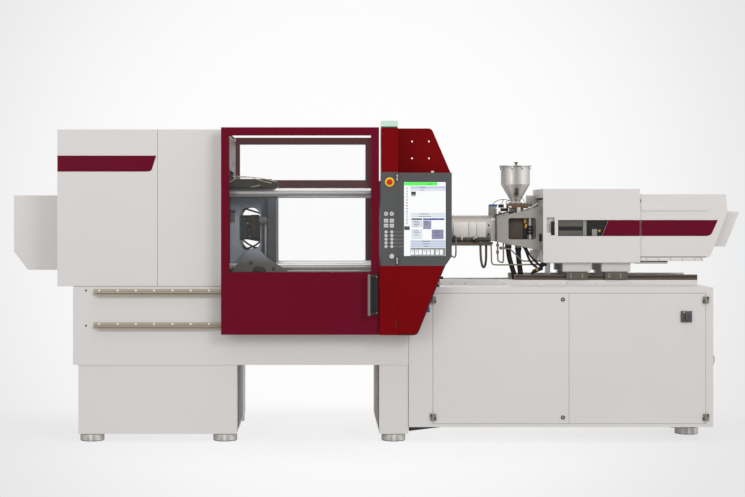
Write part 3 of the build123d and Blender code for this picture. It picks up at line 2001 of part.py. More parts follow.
front_hose_route = [
    front_hose_start,
    (886, -85, 1212),
    (908, -83, 1130),
    (930, -80, 1062),
    (930, -80, hose_floor()),
]
rear_hose_route = [
    rear_hose_start,
    (956, -70, 1198),
    (965, -72, 1125),
    (974, -71, 1060),
    (974, -71, hose_floor()),
]
conduit_route = [
    conduit_start,
    (700, -50, 1232),
    (702, -60, 1177),
    (711, -46, 1131),
    (726, -14, 1112),
    (741, 18, 1129),
    (748, 32, 1175),
    (747, 26, 1232),
    conduit_end,
]
save("coolant_hose_front", hose(front_hose_route, hose_radius))
save("coolant_hose_rear", hose(rear_hose_route, hose_radius))
save("cable_conduit", hose(conduit_route, conduit_radius))
print("crosshead travel", round(crosshead_travel(), 2))
print("open turn", round(open_turn(), 3))
print("crosshead link turns", crosshead_link_turn(open_turn()), crosshead_link_turn(0))
print("rear pivot x", rear_pivot_x(), "front pivot x", front_pivot_x())
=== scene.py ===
import math
import bpy
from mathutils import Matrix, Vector


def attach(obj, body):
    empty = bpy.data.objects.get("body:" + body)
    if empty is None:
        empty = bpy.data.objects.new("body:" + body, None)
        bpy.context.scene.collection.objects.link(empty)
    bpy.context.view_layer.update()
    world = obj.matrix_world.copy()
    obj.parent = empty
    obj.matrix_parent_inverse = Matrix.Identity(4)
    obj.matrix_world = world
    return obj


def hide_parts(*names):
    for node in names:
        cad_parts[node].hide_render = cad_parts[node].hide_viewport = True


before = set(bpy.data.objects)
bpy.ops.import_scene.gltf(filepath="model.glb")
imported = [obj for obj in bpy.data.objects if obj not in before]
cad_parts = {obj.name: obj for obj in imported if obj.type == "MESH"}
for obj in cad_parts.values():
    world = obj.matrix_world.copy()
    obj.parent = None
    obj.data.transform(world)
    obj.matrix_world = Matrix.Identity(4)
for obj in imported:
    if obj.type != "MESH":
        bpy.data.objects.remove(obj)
print("frame loaded:", len(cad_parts), "solids")
bpy.ops.object.select_all(action="DESELECT")
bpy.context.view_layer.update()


def tone(red, green, blue):
    # a colour read off a screen, turned into the light values the shader wants
    out = []
    for part in (red, green, blue):
        part = part / 255
        out.append(part / 12.92 if part <= 0.04045 else ((part + 0.055) / 1.055) ** 2.4)
    return (out[0], out[1], out[2], 1.0)


# finishes
surfaces = {}


def addNode(tree, kind, place=(0, 0), **values):
    node = tree.nodes.new(kind)
    node.location = place
    for key, value in values.items():
        setattr(node, key, value)
    return node


def feed(tree, node, sockets):
    # a socket takes another node's output as a link, and anything else as its value
    for socket, value in sockets.items():
        if isinstance(value, bpy.types.NodeSocket):
            tree.links.new(value, node.inputs[socket])
        else:
            node.inputs[socket].default_value = value


def addRange(tree, place, value, start, end, low=0.0, high=1.0, **values):
    node = addNode(tree, "ShaderNodeMapRange", place, **values)
    feed(tree, node, {"Value": value, "From Min": start, "From Max": end, "To Min": low,
                      "To Max": high})
    return node.outputs["Result"]


def addNoise(tree, place, vector, scale, detail, distortion=0.0):
    node = addNode(tree, "ShaderNodeTexNoise", place)
    feed(tree, node, {"Vector": vector, "Scale": scale, "Detail": detail,
                      "Distortion": distortion})
    return node.outputs["Fac"]


def addMix(tree, place, amount, first, second, **values):
    node = addNode(tree, "ShaderNodeMix", place, data_type="RGBA", **values)
    feed(tree, node, {0: amount, 6: first, 7: second})
    return node.outputs[2]


def addMath(tree, place, operation, first, second):
    node = addNode(tree, "ShaderNodeMath", place, operation=operation)
    feed(tree, node, {0: first, 1: second})
    return node.outputs[0]


def addPaintAndLightBands(tree, skin, point, bands):
    # other colours on parts of the piece, from one place to the next along an axis, and where a
    # second axis is given only within its stretch too; some bands are the part's own paint, others
    # are painted light and painted shade
    split = addNode(tree, "ShaderNodeSeparateXYZ", (-900, 800))
    feed(tree, split, {"Vector": point})
    for axis, start, end, colour, *only in bands:
        amount = addRange(tree, (-650, 800), split.outputs[axis], start, end)
        for otherAxis, otherStart, otherEnd in only:
            other = addRange(tree, (-650, 950), split.outputs[otherAxis], otherStart, otherEnd)
            amount = addMath(tree, (-430, 900), "MULTIPLY", amount, other)
        skin = addMix(tree, (-200, 800), amount, skin, colour)
    return skin


def addPaintedLightByFacing(tree, skin, normal, axis, stops):
    # painted light: darker and lighter bands round a turned surface, set by which way each face
    # points, standing in for lamps mirrored in it and shade on its underside
    facing = addNode(tree, "ShaderNodeSeparateXYZ", (-900, 1100))
    feed(tree, facing, {"Vector": normal})
    shift = addRange(tree, (-650, 1100), facing.outputs[axis], -1.0, 1.0)
    ramp = addNode(tree, "ShaderNodeValToRGB", (-430, 1100))
    bar = ramp.color_ramp.elements
    while len(bar) < len(stops):
        bar.new(0.5)
    for element, (place, level) in zip(bar, stops):
        element.position = (place + 1) / 2
    for element, (place, level) in zip(bar, stops):
        element.color = (level, level, level, 1.0)
    feed(tree, ramp, {"Fac": shift})
    return addMix(tree, (-100, 1100), 1.0, skin, ramp.outputs["Color"], blend_type="MULTIPLY")


# what a finish has where its own look says nothing
plainLook = dict(
    stretch=(1, 1, 1), patchScale=2.5, patchAmount=0.35, scuffScale=38, wear=0.12,
    roughness=0.5, roughSpread=0.05, grainScale=320, grain=0.08, grainDepth=0.0006, metal=0.0,
    specular=0.3, coat=0.0, alpha=1.0, glow=0.0,
)


def makeFinish(name, look):
    # one painter for every surface: patches of shade, scuffs, grain and an uneven gloss
    material = bpy.data.materials.new(name)
    material.use_nodes = True
    tree = material.node_tree
    tree.nodes.clear()
    output = addNode(tree, "ShaderNodeOutputMaterial", (900, 0))
    shader = addNode(tree, "ShaderNodeBsdfPrincipled", (600, 0))
    feed(tree, output, {"Surface": shader.outputs["BSDF"]})
    where = addNode(tree, "ShaderNodeTexCoord", (-1100, 0))
    stretch = addNode(tree, "ShaderNodeMapping", (-900, 0))
    feed(tree, stretch, {"Vector": where.outputs["Object"], "Scale": look["stretch"]})
    vector = stretch.outputs["Vector"]

    patches = addNoise(tree, (-650, 250), vector, look["patchScale"], 4)
    spread = addRange(tree, (-430, 250), patches, 0.3, 0.7, high=look["patchAmount"])
    skin = addMix(tree, (-200, 250), spread, look["colour"], look["shade"])
    scuffs = addNoise(tree, (-650, 500), vector, look["scuffScale"], 6, 0.6)
    worn = addRange(tree, (-430, 500), scuffs, 0.62, 0.74, high=look["wear"])
    skin = addMix(tree, (100, 300), worn, skin, look["wearColour"])
    if "bands" in look:
        skin = addPaintAndLightBands(tree, skin, where.outputs["Object"], look["bands"])
    # painted reflections and painted shade, by which way each face points
    if "paintedLightByFacing" in look:
        skin = addPaintedLightByFacing(tree, skin, where.outputs["Normal"], *look["paintedLightByFacing"])
    gloss = addRange(tree, (-200, -50), patches, 0.0, 1.0, look["roughness"] - look["roughSpread"],
                     look["roughness"] + look["roughSpread"])
    grain = addNoise(tree, (-650, -350), vector, look["grainScale"], 3)
    bump = addNode(tree, "ShaderNodeBump", (300, -350))
    feed(tree, bump, {"Height": grain, "Strength": look["grain"], "Distance": look["grainDepth"]})
    feed(tree, shader, {
        "Base Color": skin, "Roughness": gloss, "Normal": bump.outputs["Normal"],
        "Metallic": look["metal"], "Specular IOR Level": look["specular"],
        "Coat Weight": look["coat"], "Coat Roughness": 0.1, "Alpha": look["alpha"],
    })
    if look["glow"] > 0:
        feed(tree, shader, {"Emission Color": skin, "Emission Strength": look["glow"]})
    surfaces[name] = material


# every finish: its colours in steps of 255, then what differs from the plain look
finishLooks = {
    "lightCoat": dict(colour=(222, 219, 217), shade=(213, 210, 207), wearColour=(202, 198, 195),
        patchScale=0.9, wear=0.05, grain=0.05, specular=0.25),
    "cabinetCoat": dict(colour=(222, 219, 217), shade=(213, 210, 207), wearColour=(202, 198, 195),
        patchScale=1.1, wear=0.05, grain=0.05, specular=0.25),
    "burgundyCoat": dict(colour=(108, 12, 38), shade=(97, 8, 32), wearColour=(118, 22, 46),
        roughness=0.4, patchScale=1.4, wear=0.06, grain=0.05, specular=0.06),
    "rearBurgundy": dict(colour=(84, 26, 34), shade=(68, 18, 24), wearColour=(96, 36, 44),
        roughness=0.45, patchScale=1.4, wear=0.06, grain=0.05, specular=0.05),
    "redCoat": dict(colour=(124, 5, 12), shade=(110, 3, 8), wearColour=(132, 12, 18),
        roughness=0.4, patchScale=1.6, wear=0.05, grain=0.05, specular=0.05),
    "stripeFilm": dict(colour=(104, 12, 38), shade=(96, 8, 34), wearColour=(116, 24, 48),
        roughness=0.35, patchScale=3, wear=0.04, grain=0.03, specular=0.06),
    "panelGrey": dict(colour=(90, 91, 92), shade=(83, 84, 85), wearColour=(104, 105, 106),
        patchScale=4, wear=0.06, grain=0.1, grainScale=700, specular=0.1),
    # the platen bands are painted shade and light on one casting: dark from x -0.786 on, the
    # front-most parts dark and lighter again above 1.235 m, and shade grading darker from 1.46 m up
    # to 1.56 m
    "platenEnamel": dict(colour=(168, 175, 186), shade=(138, 145, 157),
        wearColour=(130, 134, 140), patchScale=6, patchAmount=0.6, wear=0.3, grain=0.35,
        grainScale=90, grainDepth=0.002, specular=0.15,
        bands=[("X", -0.8, -0.786, (70, 72, 74)), ("Y", -0.29, -0.3, (92, 91, 86)),
               ("Z", 1.15, 1.235, (146, 152, 160), ("Y", -0.29, -0.3)),
               ("Z", 1.46, 1.56, (80, 85, 94))]),
    "castingEnamel": dict(colour=(172, 168, 162), shade=(155, 151, 145),
        wearColour=(136, 130, 122), patchScale=7, patchAmount=0.5, wear=0.2, grain=0.3,
        grainScale=110, grainDepth=0.0015, specular=0.15),
    # the bands by facing on the tie bars are painted reflections of the studio lamps in the chrome
    "tieBarChrome": dict(colour=(222, 220, 219), shade=(204, 202, 202),
        wearColour=(178, 174, 172), roughness=0.16, roughSpread=0.04, metal=0.5,
        stretch=(24, 1, 1), patchScale=3, wear=0.2, grain=0.06, grainScale=60,
        paintedLightByFacing=("Z", [(-1.0, 0.9), (-0.8, 1.0), (-0.6, 0.5), (-0.3, 0.4), (-0.05, 0.8),
                    (0.1, 0.85), (0.4, 0.55), (0.7, 1.0)])),
    "machinedSteel": dict(colour=(176, 176, 174), shade=(150, 149, 147),
        wearColour=(124, 120, 116), roughness=0.34, metal=0.9, stretch=(1, 1, 14), patchScale=5,
        wear=0.25, grain=0.16, grainScale=160),
    # the bands by facing are painted reflections of the studio lamps, bright and dark stripes round
    # the hopper drum and the other stainless parts
    "brushedStainless": dict(colour=(252, 249, 245), shade=(242, 238, 233),
        wearColour=(206, 200, 192), roughness=0.36, metal=0.3, stretch=(1, 1, 22), patchScale=4,
        wear=0.2, grain=0.14, grainScale=120, specular=0.5,
        paintedLightByFacing=("X", [(-1.0, 0.5), (-0.86, 0.62), (-0.65, 0.9), (-0.44, 1.0), (-0.23, 0.58),
                    (-0.03, 0.36), (0.18, 0.52), (0.39, 0.92), (0.59, 0.9), (0.8, 0.66),
                    (1.0, 0.46)])),
    "trackMetal": dict(colour=(178, 168, 154), shade=(152, 142, 128), wearColour=(120, 110, 98),
        roughness=0.36, metal=0.65, stretch=(0.3, 6, 6), patchScale=5, wear=0.2, grain=0.12,
        grainScale=90),
    # the band is painted light: the rails on the far side are painted pale, a lit copy of the same
    # steel
    "railSteel": dict(colour=(98, 90, 82), shade=(72, 64, 57), wearColour=(140, 134, 126),
        roughness=0.32, metal=0.7, stretch=(0.4, 8, 8), patchScale=5, wear=0.3, grain=0.1,
        grainScale=90,
        bands=[("Y", 0.0, 0.05, (224, 222, 220))]),
    "driveSteel": dict(colour=(128, 120, 112), shade=(104, 98, 90), wearColour=(158, 152, 144),
        roughness=0.4, metal=0.6, patchScale=8, patchAmount=0.5, wear=0.25, grain=0.2,
        grainScale=140),
    # the light strip down the middle of the grip bar is a painted highlight
    "handleAluminium": dict(colour=(98, 93, 90), shade=(82, 78, 75), wearColour=(120, 116, 112),
        roughness=0.35, metal=0.3, stretch=(1, 1, 18), patchScale=5, grain=0.1,
        bands=[("X", -0.086, -0.085, (160, 155, 150)), ("X", -0.081, -0.08, (84, 80, 77))]),
    "footZinc": dict(colour=(168, 166, 158), shade=(140, 138, 130), wearColour=(112, 108, 100),
        roughness=0.42, metal=0.6, patchScale=9, patchAmount=0.6, wear=0.3, grain=0.2,
        grainScale=160),
    "clearPane": dict(colour=(244, 248, 248), shade=(238, 244, 244), wearColour=(226, 230, 230),
        roughness=0.06, roughSpread=0.02, patchScale=2, wear=0.1, specular=0.1, grain=0.02,
        alpha=0.02),
    "lampLens": dict(colour=(214, 244, 222), shade=(196, 236, 208), wearColour=(176, 222, 190),
        roughness=0.2, patchScale=9, wear=0.05, grain=0.1, coat=0.3, alpha=0.88),
    "lampBase": dict(colour=(52, 92, 62), shade=(40, 74, 50), wearColour=(70, 112, 80),
        roughness=0.4, patchScale=9, wear=0.05, grain=0.1),
    "stopRed": dict(colour=(206, 26, 18), shade=(188, 18, 12), wearColour=(222, 70, 58),
        roughness=0.28, patchScale=30, wear=0.1, grain=0.1, coat=0.3),
    "stopYellow": dict(colour=(252, 204, 30), shade=(240, 188, 18), wearColour=(222, 170, 22),
        roughness=0.4, patchScale=30, wear=0.1, grain=0.1),
    "keyGrey": dict(colour=(206, 206, 204), shade=(188, 188, 186), wearColour=(160, 160, 158),
        roughness=0.4, patchScale=40, wear=0.2, grain=0.15),
    "blackPlastic": dict(colour=(30, 30, 31), shade=(20, 20, 21), wearColour=(52, 52, 53),
        roughness=0.45, patchScale=12, wear=0.2, grain=0.2, grainScale=500),
    "blackRubber": dict(colour=(34, 30, 27), shade=(22, 20, 18), wearColour=(58, 54, 50),
        roughness=0.55, patchScale=14, wear=0.25, grain=0.3, grainScale=260),
    "motorBlack": dict(colour=(40, 40, 42), shade=(26, 26, 28), wearColour=(70, 70, 72),
        roughness=0.4, patchScale=10, wear=0.25, grain=0.25, grainScale=200),
    "greyPlastic": dict(colour=(150, 148, 144), shade=(132, 130, 126), wearColour=(112, 110, 106),
        patchScale=12, wear=0.15, grain=0.2),
    "insulationWhite": dict(colour=(232, 230, 226), shade=(218, 215, 210),
        wearColour=(196, 192, 186), patchScale=9, wear=0.1, grain=0.2),
    "brassYellow": dict(colour=(186, 146, 70), shade=(156, 118, 52), wearColour=(142, 108, 52),
        roughness=0.35, metal=0.7, patchScale=14, wear=0.2, grain=0.15),
    "resinBrown": dict(colour=(112, 84, 60), shade=(88, 64, 46), wearColour=(134, 106, 80),
        patchScale=16, patchAmount=0.6, wear=0.2, grain=0.3),
    "boxBlue": dict(colour=(64, 96, 150), shade=(50, 80, 132), wearColour=(92, 122, 170),
        roughness=0.4, patchScale=20, wear=0.1, grain=0.1),
    "wireBeige": dict(colour=(196, 186, 166), shade=(176, 166, 146), wearColour=(150, 140, 122),
        roughness=0.45, patchScale=20, wear=0.1, grain=0.1),
    "sealBlack": dict(colour=(26, 25, 25), shade=(18, 17, 17), wearColour=(44, 42, 42),
        roughness=0.6, patchScale=12, wear=0.1, grain=0.2),
    # the bands by facing paint shade on the underside of the barrel cover and reflections higher up
    "barrelSheet": dict(base="brushedStainless", colour=(196, 188, 180), shade=(180, 171, 162),
        stretch=(1, 22, 1),
        paintedLightByFacing=("Z", [(-1.0, 0.3), (-0.75, 0.26), (-0.5, 0.36), (-0.25, 0.7), (0.3, 0.95),
                    (0.6, 0.75), (0.85, 0.7), (1.0, 0.8)])),
    "hopperBronze": dict(base="driveSteel", colour=(112, 104, 92), shade=(88, 80, 68)),
    "baseBronze": dict(base="driveSteel", colour=(84, 76, 66), shade=(64, 57, 48),
        wearColour=(108, 100, 90), metal=0.1, specular=0.1),
    # the last band is painted light: the far carrier, past y 0.14 and below 1.2 m, sits in shade
    # under the cover and is painted pale
    "frameMix": dict(base="driveSteel", colour=(104, 96, 88), shade=(84, 77, 70), metal=0.2,
        specular=0.2,
        bands=[("Z", 1.093, 1.095, (212, 209, 207)), ("Z", 1.156, 1.158, (90, 84, 78)),
               ("X", 1.18, 1.172, (214, 211, 209)),
               ("Y", 0.1, 0.14, (248, 247, 246), ("Z", 1.25, 1.2))]),
    "troughBrown": dict(base="driveSteel", colour=(150, 140, 128), shade=(120, 110, 98),
        metal=0.3, specular=0.2, stretch=(0.3, 6, 6)),
    "pipeSteel": dict(base="driveSteel", colour=(140, 132, 122), shade=(118, 110, 100), metal=0.5),
    "conduitGrey": dict(base="greyPlastic", colour=(108, 98, 92), shade=(84, 76, 70),
        specular=0.15),
    # a lit copy of the casting enamel: painted light on the barrel's flange, which falls in shade
    "flangeLitEnamel": dict(base="castingEnamel", colour=(234, 231, 228), shade=(222, 218, 214)),
    "doorCoat": dict(base="cabinetCoat",
        bands=[("Y", -0.5658, -0.5666, (138, 134, 130))]),
    "lipCoat": dict(base="lightCoat",
        bands=[("Z", 1.3335, 1.3338, (104, 12, 38), ("Y", -0.23, -0.236)),
               ("Z", 1.4407, 1.441, (222, 219, 217))]),
    # the bands by facing are painted reflections, light and dark stripes round the foot discs
    "footSilver": dict(base="driveSteel", colour=(236, 234, 228), shade=(220, 217, 210),
        wearColour=(190, 186, 178), metal=0.25, specular=0.4,
        paintedLightByFacing=("X", [(-1.0, 0.36), (-0.8, 0.5), (-0.45, 0.7), (-0.2, 0.5), (0.0, 0.95),
                    (0.25, 0.5), (0.6, 0.95), (0.85, 0.7), (1.0, 0.45)])),
    "switchSlate": dict(base="greyPlastic", colour=(84, 88, 100), shade=(70, 74, 86)),
    "lockGrey": dict(base="greyPlastic", colour=(82, 80, 78), shade=(66, 64, 62)),
    "screwBright": dict(base="keyGrey", colour=(246, 245, 243), shade=(236, 235, 232),
        specular=0.6),
    # painted shade for the pedestals' inner faces
    "innerBrown": dict(base="driveSteel", colour=(98, 90, 88), shade=(86, 79, 77),
        wearColour=(112, 106, 103), metal=0.0, specular=0.1),
    "shadowGrey": dict(base="driveSteel", colour=(108, 104, 100), shade=(90, 86, 82),
        wearColour=(124, 120, 116), metal=0.0, specular=0.1),
    "shadowDark": dict(base="driveSteel", colour=(66, 68, 74), shade=(50, 52, 58),
        wearColour=(86, 86, 90), metal=0.0, specular=0.08),
    # painted highlight for a raised edge
    "greyLight": dict(base="driveSteel", colour=(206, 206, 208), shade=(186, 187, 190),
        wearColour=(160, 160, 164), metal=0.0, specular=0.2),
    "plateOlive": dict(base="resinBrown", colour=(92, 85, 74), shade=(76, 70, 60), specular=0.15),
    "trayDark": dict(base="driveSteel", colour=(62, 55, 48), shade=(44, 38, 33),
        wearColour=(96, 90, 82), metal=0.0, specular=0.05, patchScale=18),
}

# the display's colours: field, its shade, its wear and how much it glows
screenTones = {
    "screenWhite": ((247, 248, 249), (243, 244, 246), (232, 234, 236), 0.12),
    "screenGreen": ((92, 246, 92), (84, 238, 84), (110, 240, 110), 0.12),
    "screenSteel": ((196, 208, 226), (186, 198, 218), (170, 184, 206), 0.1),
    "screenMist": ((222, 228, 238), (214, 221, 233), (204, 212, 226), 0.1),
    "screenBlue": ((20, 60, 150), (16, 52, 138), (34, 74, 162), 0.1),
    "screenLavender": ((216, 214, 238), (208, 206, 232), (196, 194, 222), 0.1),
    "screenGrey": ((150, 152, 154), (140, 142, 145), (126, 128, 130), 0.06),
    "screenDark": ((70, 72, 76), (60, 62, 66), (86, 88, 92), 0.04),
}

fullLooks = {}


def paint(name, base=None, **changes):
    # a finish starts from its base, or from the plain look, and is mixed at once
    look = dict(fullLooks[base] if base else plainLook, **changes)
    for key in ("colour", "shade", "wearColour"):
        if key in changes:
            look[key] = tone(*changes[key])
    if "bands" in changes:
        look["bands"] = [(axis, start, end, tone(*colour), *also)
                         for axis, start, end, colour, *also in changes["bands"]]
    fullLooks[name] = look
    makeFinish(name, look)


for finishName, finishLook in finishLooks.items():
    paint(finishName, **finishLook)
for finishName, (fieldColour, fieldShade, fieldWear, fieldGlow) in screenTones.items():
    paint(finishName, colour=fieldColour, shade=fieldShade, wearColour=fieldWear, glow=fieldGlow,
          roughness=0.2, patchScale=8, wear=0.02, grain=0.02)
print("finishes mixed:", len(surfaces))

# which solids wear which finish
solidFinish = {
    "lightCoat": ["machine_frame", "clamp_rear_cover", "clamp_front_cover", "clamp_end_cover",
                  "injection_bed", "injection_cover_rear", "injection_cover_front"],
    "footZinc": ["levelling_feet"],
    "platenEnamel": ["end_platen", "fixed_platen", "moving_platen"],
    "tieBarChrome": ["tie_bars"],
    "railSteel": ["linear_rails"],
    "motorBlack": ["clamp_drive", "ejector_unit", "cable_tray"],
    "trackMetal": ["door_rails"],
    "redCoat": ["column_covers", "guard_fin", "guard_skirt"],
    "panelGrey": ["key_panel", "display_housing"],
    "lampLens": ["signal_lamp"],
    "doorCoat": ["cabinet_shell", "cabinet_door_left", "cabinet_door_right"],
    "greyPlastic": ["drive_modules", "cable_conduit"],
    "machinedSteel": ["ejector_rod", "clamp_screw", "crosshead_link_upper",
                      "crosshead_link_lower", "plasticising_screw"],
    "castingEnamel": ["crosshead", "feed_casting", "screw_drive"],
    "driveSteel": ["rear_link_upper", "rear_link_lower", "front_link_upper", "front_link_lower"],
    "burgundyCoat": ["front_door"],
    "clearPane": ["front_door_window", "rear_door_window"],
    "handleAluminium": ["front_door_handle"],
    "rearBurgundy": ["rear_door"],
    "stopRed": ["estop_button"],
    "keyGrey": ["start_button"],
    "screenWhite": ["display_screen"],
    "frameMix": ["injection_frame"],
    "flangeLitEnamel": ["barrel"],
    "barrelSheet": ["barrel_cover"],
    "hopperBronze": ["hopper_base", "hopper_gate"],
    "brushedStainless": ["hopper_body", "hopper_lid"],
    "blackRubber": ["coolant_hose_front", "coolant_hose_rear"],
    "lockGrey": ["door_lock_lower", "door_lock_upper", "main_switch_knob"],
}
for finishName, nodeNames in solidFinish.items():
    for nodeName in nodeNames:
        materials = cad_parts[nodeName].data.materials
        materials.clear()
        materials.append(surfaces[finishName])
print("solids painted:", sum(len(nodeNames) for nodeNames in solidFinish.values()))


# modelling helpers
def selectOnly(obj):
    bpy.ops.object.select_all(action="DESELECT")
    obj.select_set(True)
    bpy.context.view_layer.objects.active = obj


def useModifier(obj, kind, **values):
    selectOnly(obj)
    modifier = obj.modifiers.new(kind.lower(), kind)
    for key, value in values.items():
        setattr(modifier, key, value)
    bpy.ops.object.modifier_apply(modifier=modifier.name)


def settle(obj):
    # place, turn and scale go into the mesh
    selectOnly(obj)
    bpy.ops.object.transform_apply(location=True, rotation=True, scale=True)


def dress(obj, name, finish, body):
    obj.name = name
    obj.data.name = name
    obj.data.materials.clear()
    obj.data.materials.append(surfaces[finish])
    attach(obj, body)
    return obj


def join(parts):
    bpy.ops.object.select_all(action="DESELECT")
    for part in parts:
        part.select_set(True)
    bpy.context.view_layer.objects.active = parts[0]
    if len(parts) > 1:
        bpy.ops.object.join()
    return bpy.context.view_layer.objects.active


def block(low, high, edge=0.0, steps=2):
    low = Vector(low)
    high = Vector(high)
    bpy.ops.object.select_all(action="DESELECT")
    bpy.ops.mesh.primitive_cube_add(size=1, location=(low + high) / 2)
    obj = bpy.context.active_object
    obj.scale = high - low
    settle(obj)
    if edge > 0:
        useModifier(obj, "BEVEL", width=edge, segments=steps, limit_method="ANGLE")
        bpy.ops.object.shade_smooth_by_angle(angle=math.radians(35))
    return obj


def rod(start, end, radius, sides=24, edge=0.0):
    start = Vector(start)
    end = Vector(end)
    along = end - start
    bpy.ops.object.select_all(action="DESELECT")
    bpy.ops.mesh.primitive_cylinder_add(
        vertices=sides, radius=radius, depth=along.length, location=(start + end) / 2,
        rotation=along.to_track_quat("Z", "Y").to_euler(),
    )
    obj = bpy.context.active_object
    settle(obj)
    if edge > 0:
        useModifier(obj, "BEVEL", width=edge, segments=2, limit_method="ANGLE",
                    angle_limit=math.radians(50))
    bpy.ops.object.shade_smooth_by_angle(angle=math.radians(35))
    return obj


def ring(centre, radius, thickness, axis="Y", sides=40):
    turn = {"X": (0, math.pi / 2, 0), "Y": (math.pi / 2, 0, 0), "Z": (0, 0, 0)}[axis]
    bpy.ops.object.select_all(action="DESELECT")
    bpy.ops.mesh.primitive_torus_add(
        major_segments=sides, minor_segments=10, major_radius=radius,
        minor_radius=thickness, location=centre, rotation=turn,
    )
    obj = bpy.context.active_object
    settle(obj)
    selectOnly(obj)
    bpy.ops.object.shade_smooth()
    return obj


def plate(outline, front, back, edge=0.0):
    # flat sheet cut to an outline in the front view, pushed back to its thickness
    bpy.ops.object.select_all(action="DESELECT")
    bpy.ops.mesh.primitive_circle_add(vertices=len(outline), radius=1, fill_type="NGON")
    obj = bpy.context.active_object
    for vertex, (x, z) in zip(obj.data.vertices, outline):
        vertex.co = (x, front, z)
    selectOnly(obj)
    bpy.ops.object.mode_set(mode="EDIT")
    bpy.ops.mesh.select_all(action="SELECT")
    bpy.ops.mesh.extrude_region_move(TRANSFORM_OT_translate={"value": (0, back - front, 0)})
    bpy.ops.mesh.select_all(action="SELECT")
    bpy.ops.mesh.normals_make_consistent(inside=False)
    bpy.ops.object.mode_set(mode="OBJECT")
    if edge > 0:
        useModifier(obj, "BEVEL", width=edge, segments=2, limit_method="ANGLE")
    return obj


def wire(name, points, radius, finish, body, sides=4):
    # round cord, cable or pipe through its control points
    data = bpy.data.curves.new(name, "CURVE")
    data.dimensions = "3D"
    line = data.splines.new("NURBS")
    line.points.add(len(points) - 1)
    for point, place in zip(line.points, points):
        point.co = (place[0], place[1], place[2], 1)
    line.order_u = 3
    line.use_endpoint_u = True
    line.resolution_u = 6
    data.bevel_depth = radius
    data.bevel_resolution = sides
    data.use_fill_caps = True
    obj = bpy.data.objects.new(name, data)
    bpy.context.collection.objects.link(obj)
    obj.data.materials.append(surfaces[finish])
    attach(obj, body)
    return obj


def copyTo(obj, shift):
    # another one like it, with a mesh of its own
    twin = obj.copy()
    twin.data = obj.data.copy()
    bpy.context.collection.objects.link(twin)
    for vertex in twin.data.vertices:
        vertex.co += Vector(shift)
    return twin


def carve(obj, tool):
    # cuts the tool out of the piece and takes the tool away
    useModifier(obj, "BOOLEAN", operation="DIFFERENCE", object=tool, solver="EXACT")
    bpy.data.objects.remove(tool)
    selectOnly(obj)
    bpy.ops.object.shade_smooth_by_angle(angle=math.radians(35))
    return obj


def annulus(centre, inner, outer, front, back, sides=48):
    x, z = centre
    disc = rod((x, back, z), (x, front, z), outer, sides, 0.0006)
    return carve(disc, rod((x, back + 0.01, z), (x, front - 0.01, z), inner, sides))


def screwHead(place, radius, proud, sides=12):
    # flat screw head that looks along the front, with its socket sunk in
    x, y, z = place
    head = rod((x, y, z), (x, y - proud, z), radius, sides)
    selectOnly(head)
    bpy.ops.object.mode_set(mode="EDIT")
    bpy.ops.mesh.select_all(action="DESELECT")
    bpy.ops.object.mode_set(mode="OBJECT")
    for face in head.data.polygons:
        face.select = face.normal.y < -0.9
    bpy.ops.object.mode_set(mode="EDIT")
    bpy.ops.mesh.inset(thickness=radius * 0.45)
    bpy.ops.mesh.extrude_region_move(TRANSFORM_OT_translate={"value": (0, proud * 0.5, 0)})
    bpy.ops.object.mode_set(mode="OBJECT")
    return head


def blocks(corners, edge=0.0):
    return join([block(low, high, edge) for low, high in corners])


def wires(name, routes, radius, finish, body, sides=3):
    for number, points in enumerate(routes):
        wire(name + str(number + 1), points, radius, finish, body, sides)


def makeFittings(look):
    # small pieces that are joined from a few shapes: finish, body, slot and then the shapes
    for name, (finish, body, slotName, *shapes) in look.items():
        parts = [make(*values) for make, *values in shapes]
        dress(join(parts), name, finish, body)


# stage, light and camera
stageLook = {
    "floorHalf": 9.0,
    "floorGrey": 0.86,
    "floorFaint": 0.82,        # how far the floor gives way to the air under the machine
    "floorFade": (0.55, 1.25),
    "floorStretch": (0.30, 0.72, 1.0),
    "worldBright": 0.985,      # white seen by the camera in the middle
    "worldDim": 0.80,          # grey in the far corners
    "worldFade": (0.955, 0.998),
    "worldAim": (0.02, 0.9996, 0.0),
    "worldLight": 0.56,        # what the air itself throws on the object
}


def makeWorld(look):
    world = bpy.data.worlds.new("studio air")
    bpy.context.scene.world = world
    world.use_nodes = True
    tree = world.node_tree
    tree.nodes.clear()
    output = addNode(tree, "ShaderNodeOutputWorld", (800, 0))
    where = addNode(tree, "ShaderNodeTexCoord", (-900, 0))
    aim = addNode(tree, "ShaderNodeVectorMath", (-700, 0), operation="DOT_PRODUCT")
    feed(tree, aim, {0: where.outputs["Generated"], 1: look["worldAim"]})
    fall = addRange(tree, (-500, 0), aim.outputs["Value"], *look["worldFade"], look["worldDim"],
                    look["worldBright"], interpolation_type="SMOOTHSTEP")
    shown = addNode(tree, "ShaderNodeBackground", (300, 150))
    feed(tree, shown, {"Strength": fall, "Color": (1.0, 1.0, 1.0, 1.0)})
    light = addNode(tree, "ShaderNodeBackground", (300, -50))
    feed(tree, light, {"Strength": look["worldLight"], "Color": (1.0, 0.995, 0.985, 1.0)})
    rays = addNode(tree, "ShaderNodeLightPath", (-500, 400)).outputs
    seen = addMath(tree, (-250, 400), "MAXIMUM", rays["Is Camera Ray"],
                   rays["Is Transmission Ray"])
    seen = addMath(tree, (-50, 400), "MAXIMUM", seen, rays["Is Glossy Ray"])
    choose = addNode(tree, "ShaderNodeMixShader", (550, 0))
    feed(tree, choose, {0: seen, 1: light.outputs[0], 2: shown.outputs[0]})
    feed(tree, output, {"Surface": choose.outputs[0]})


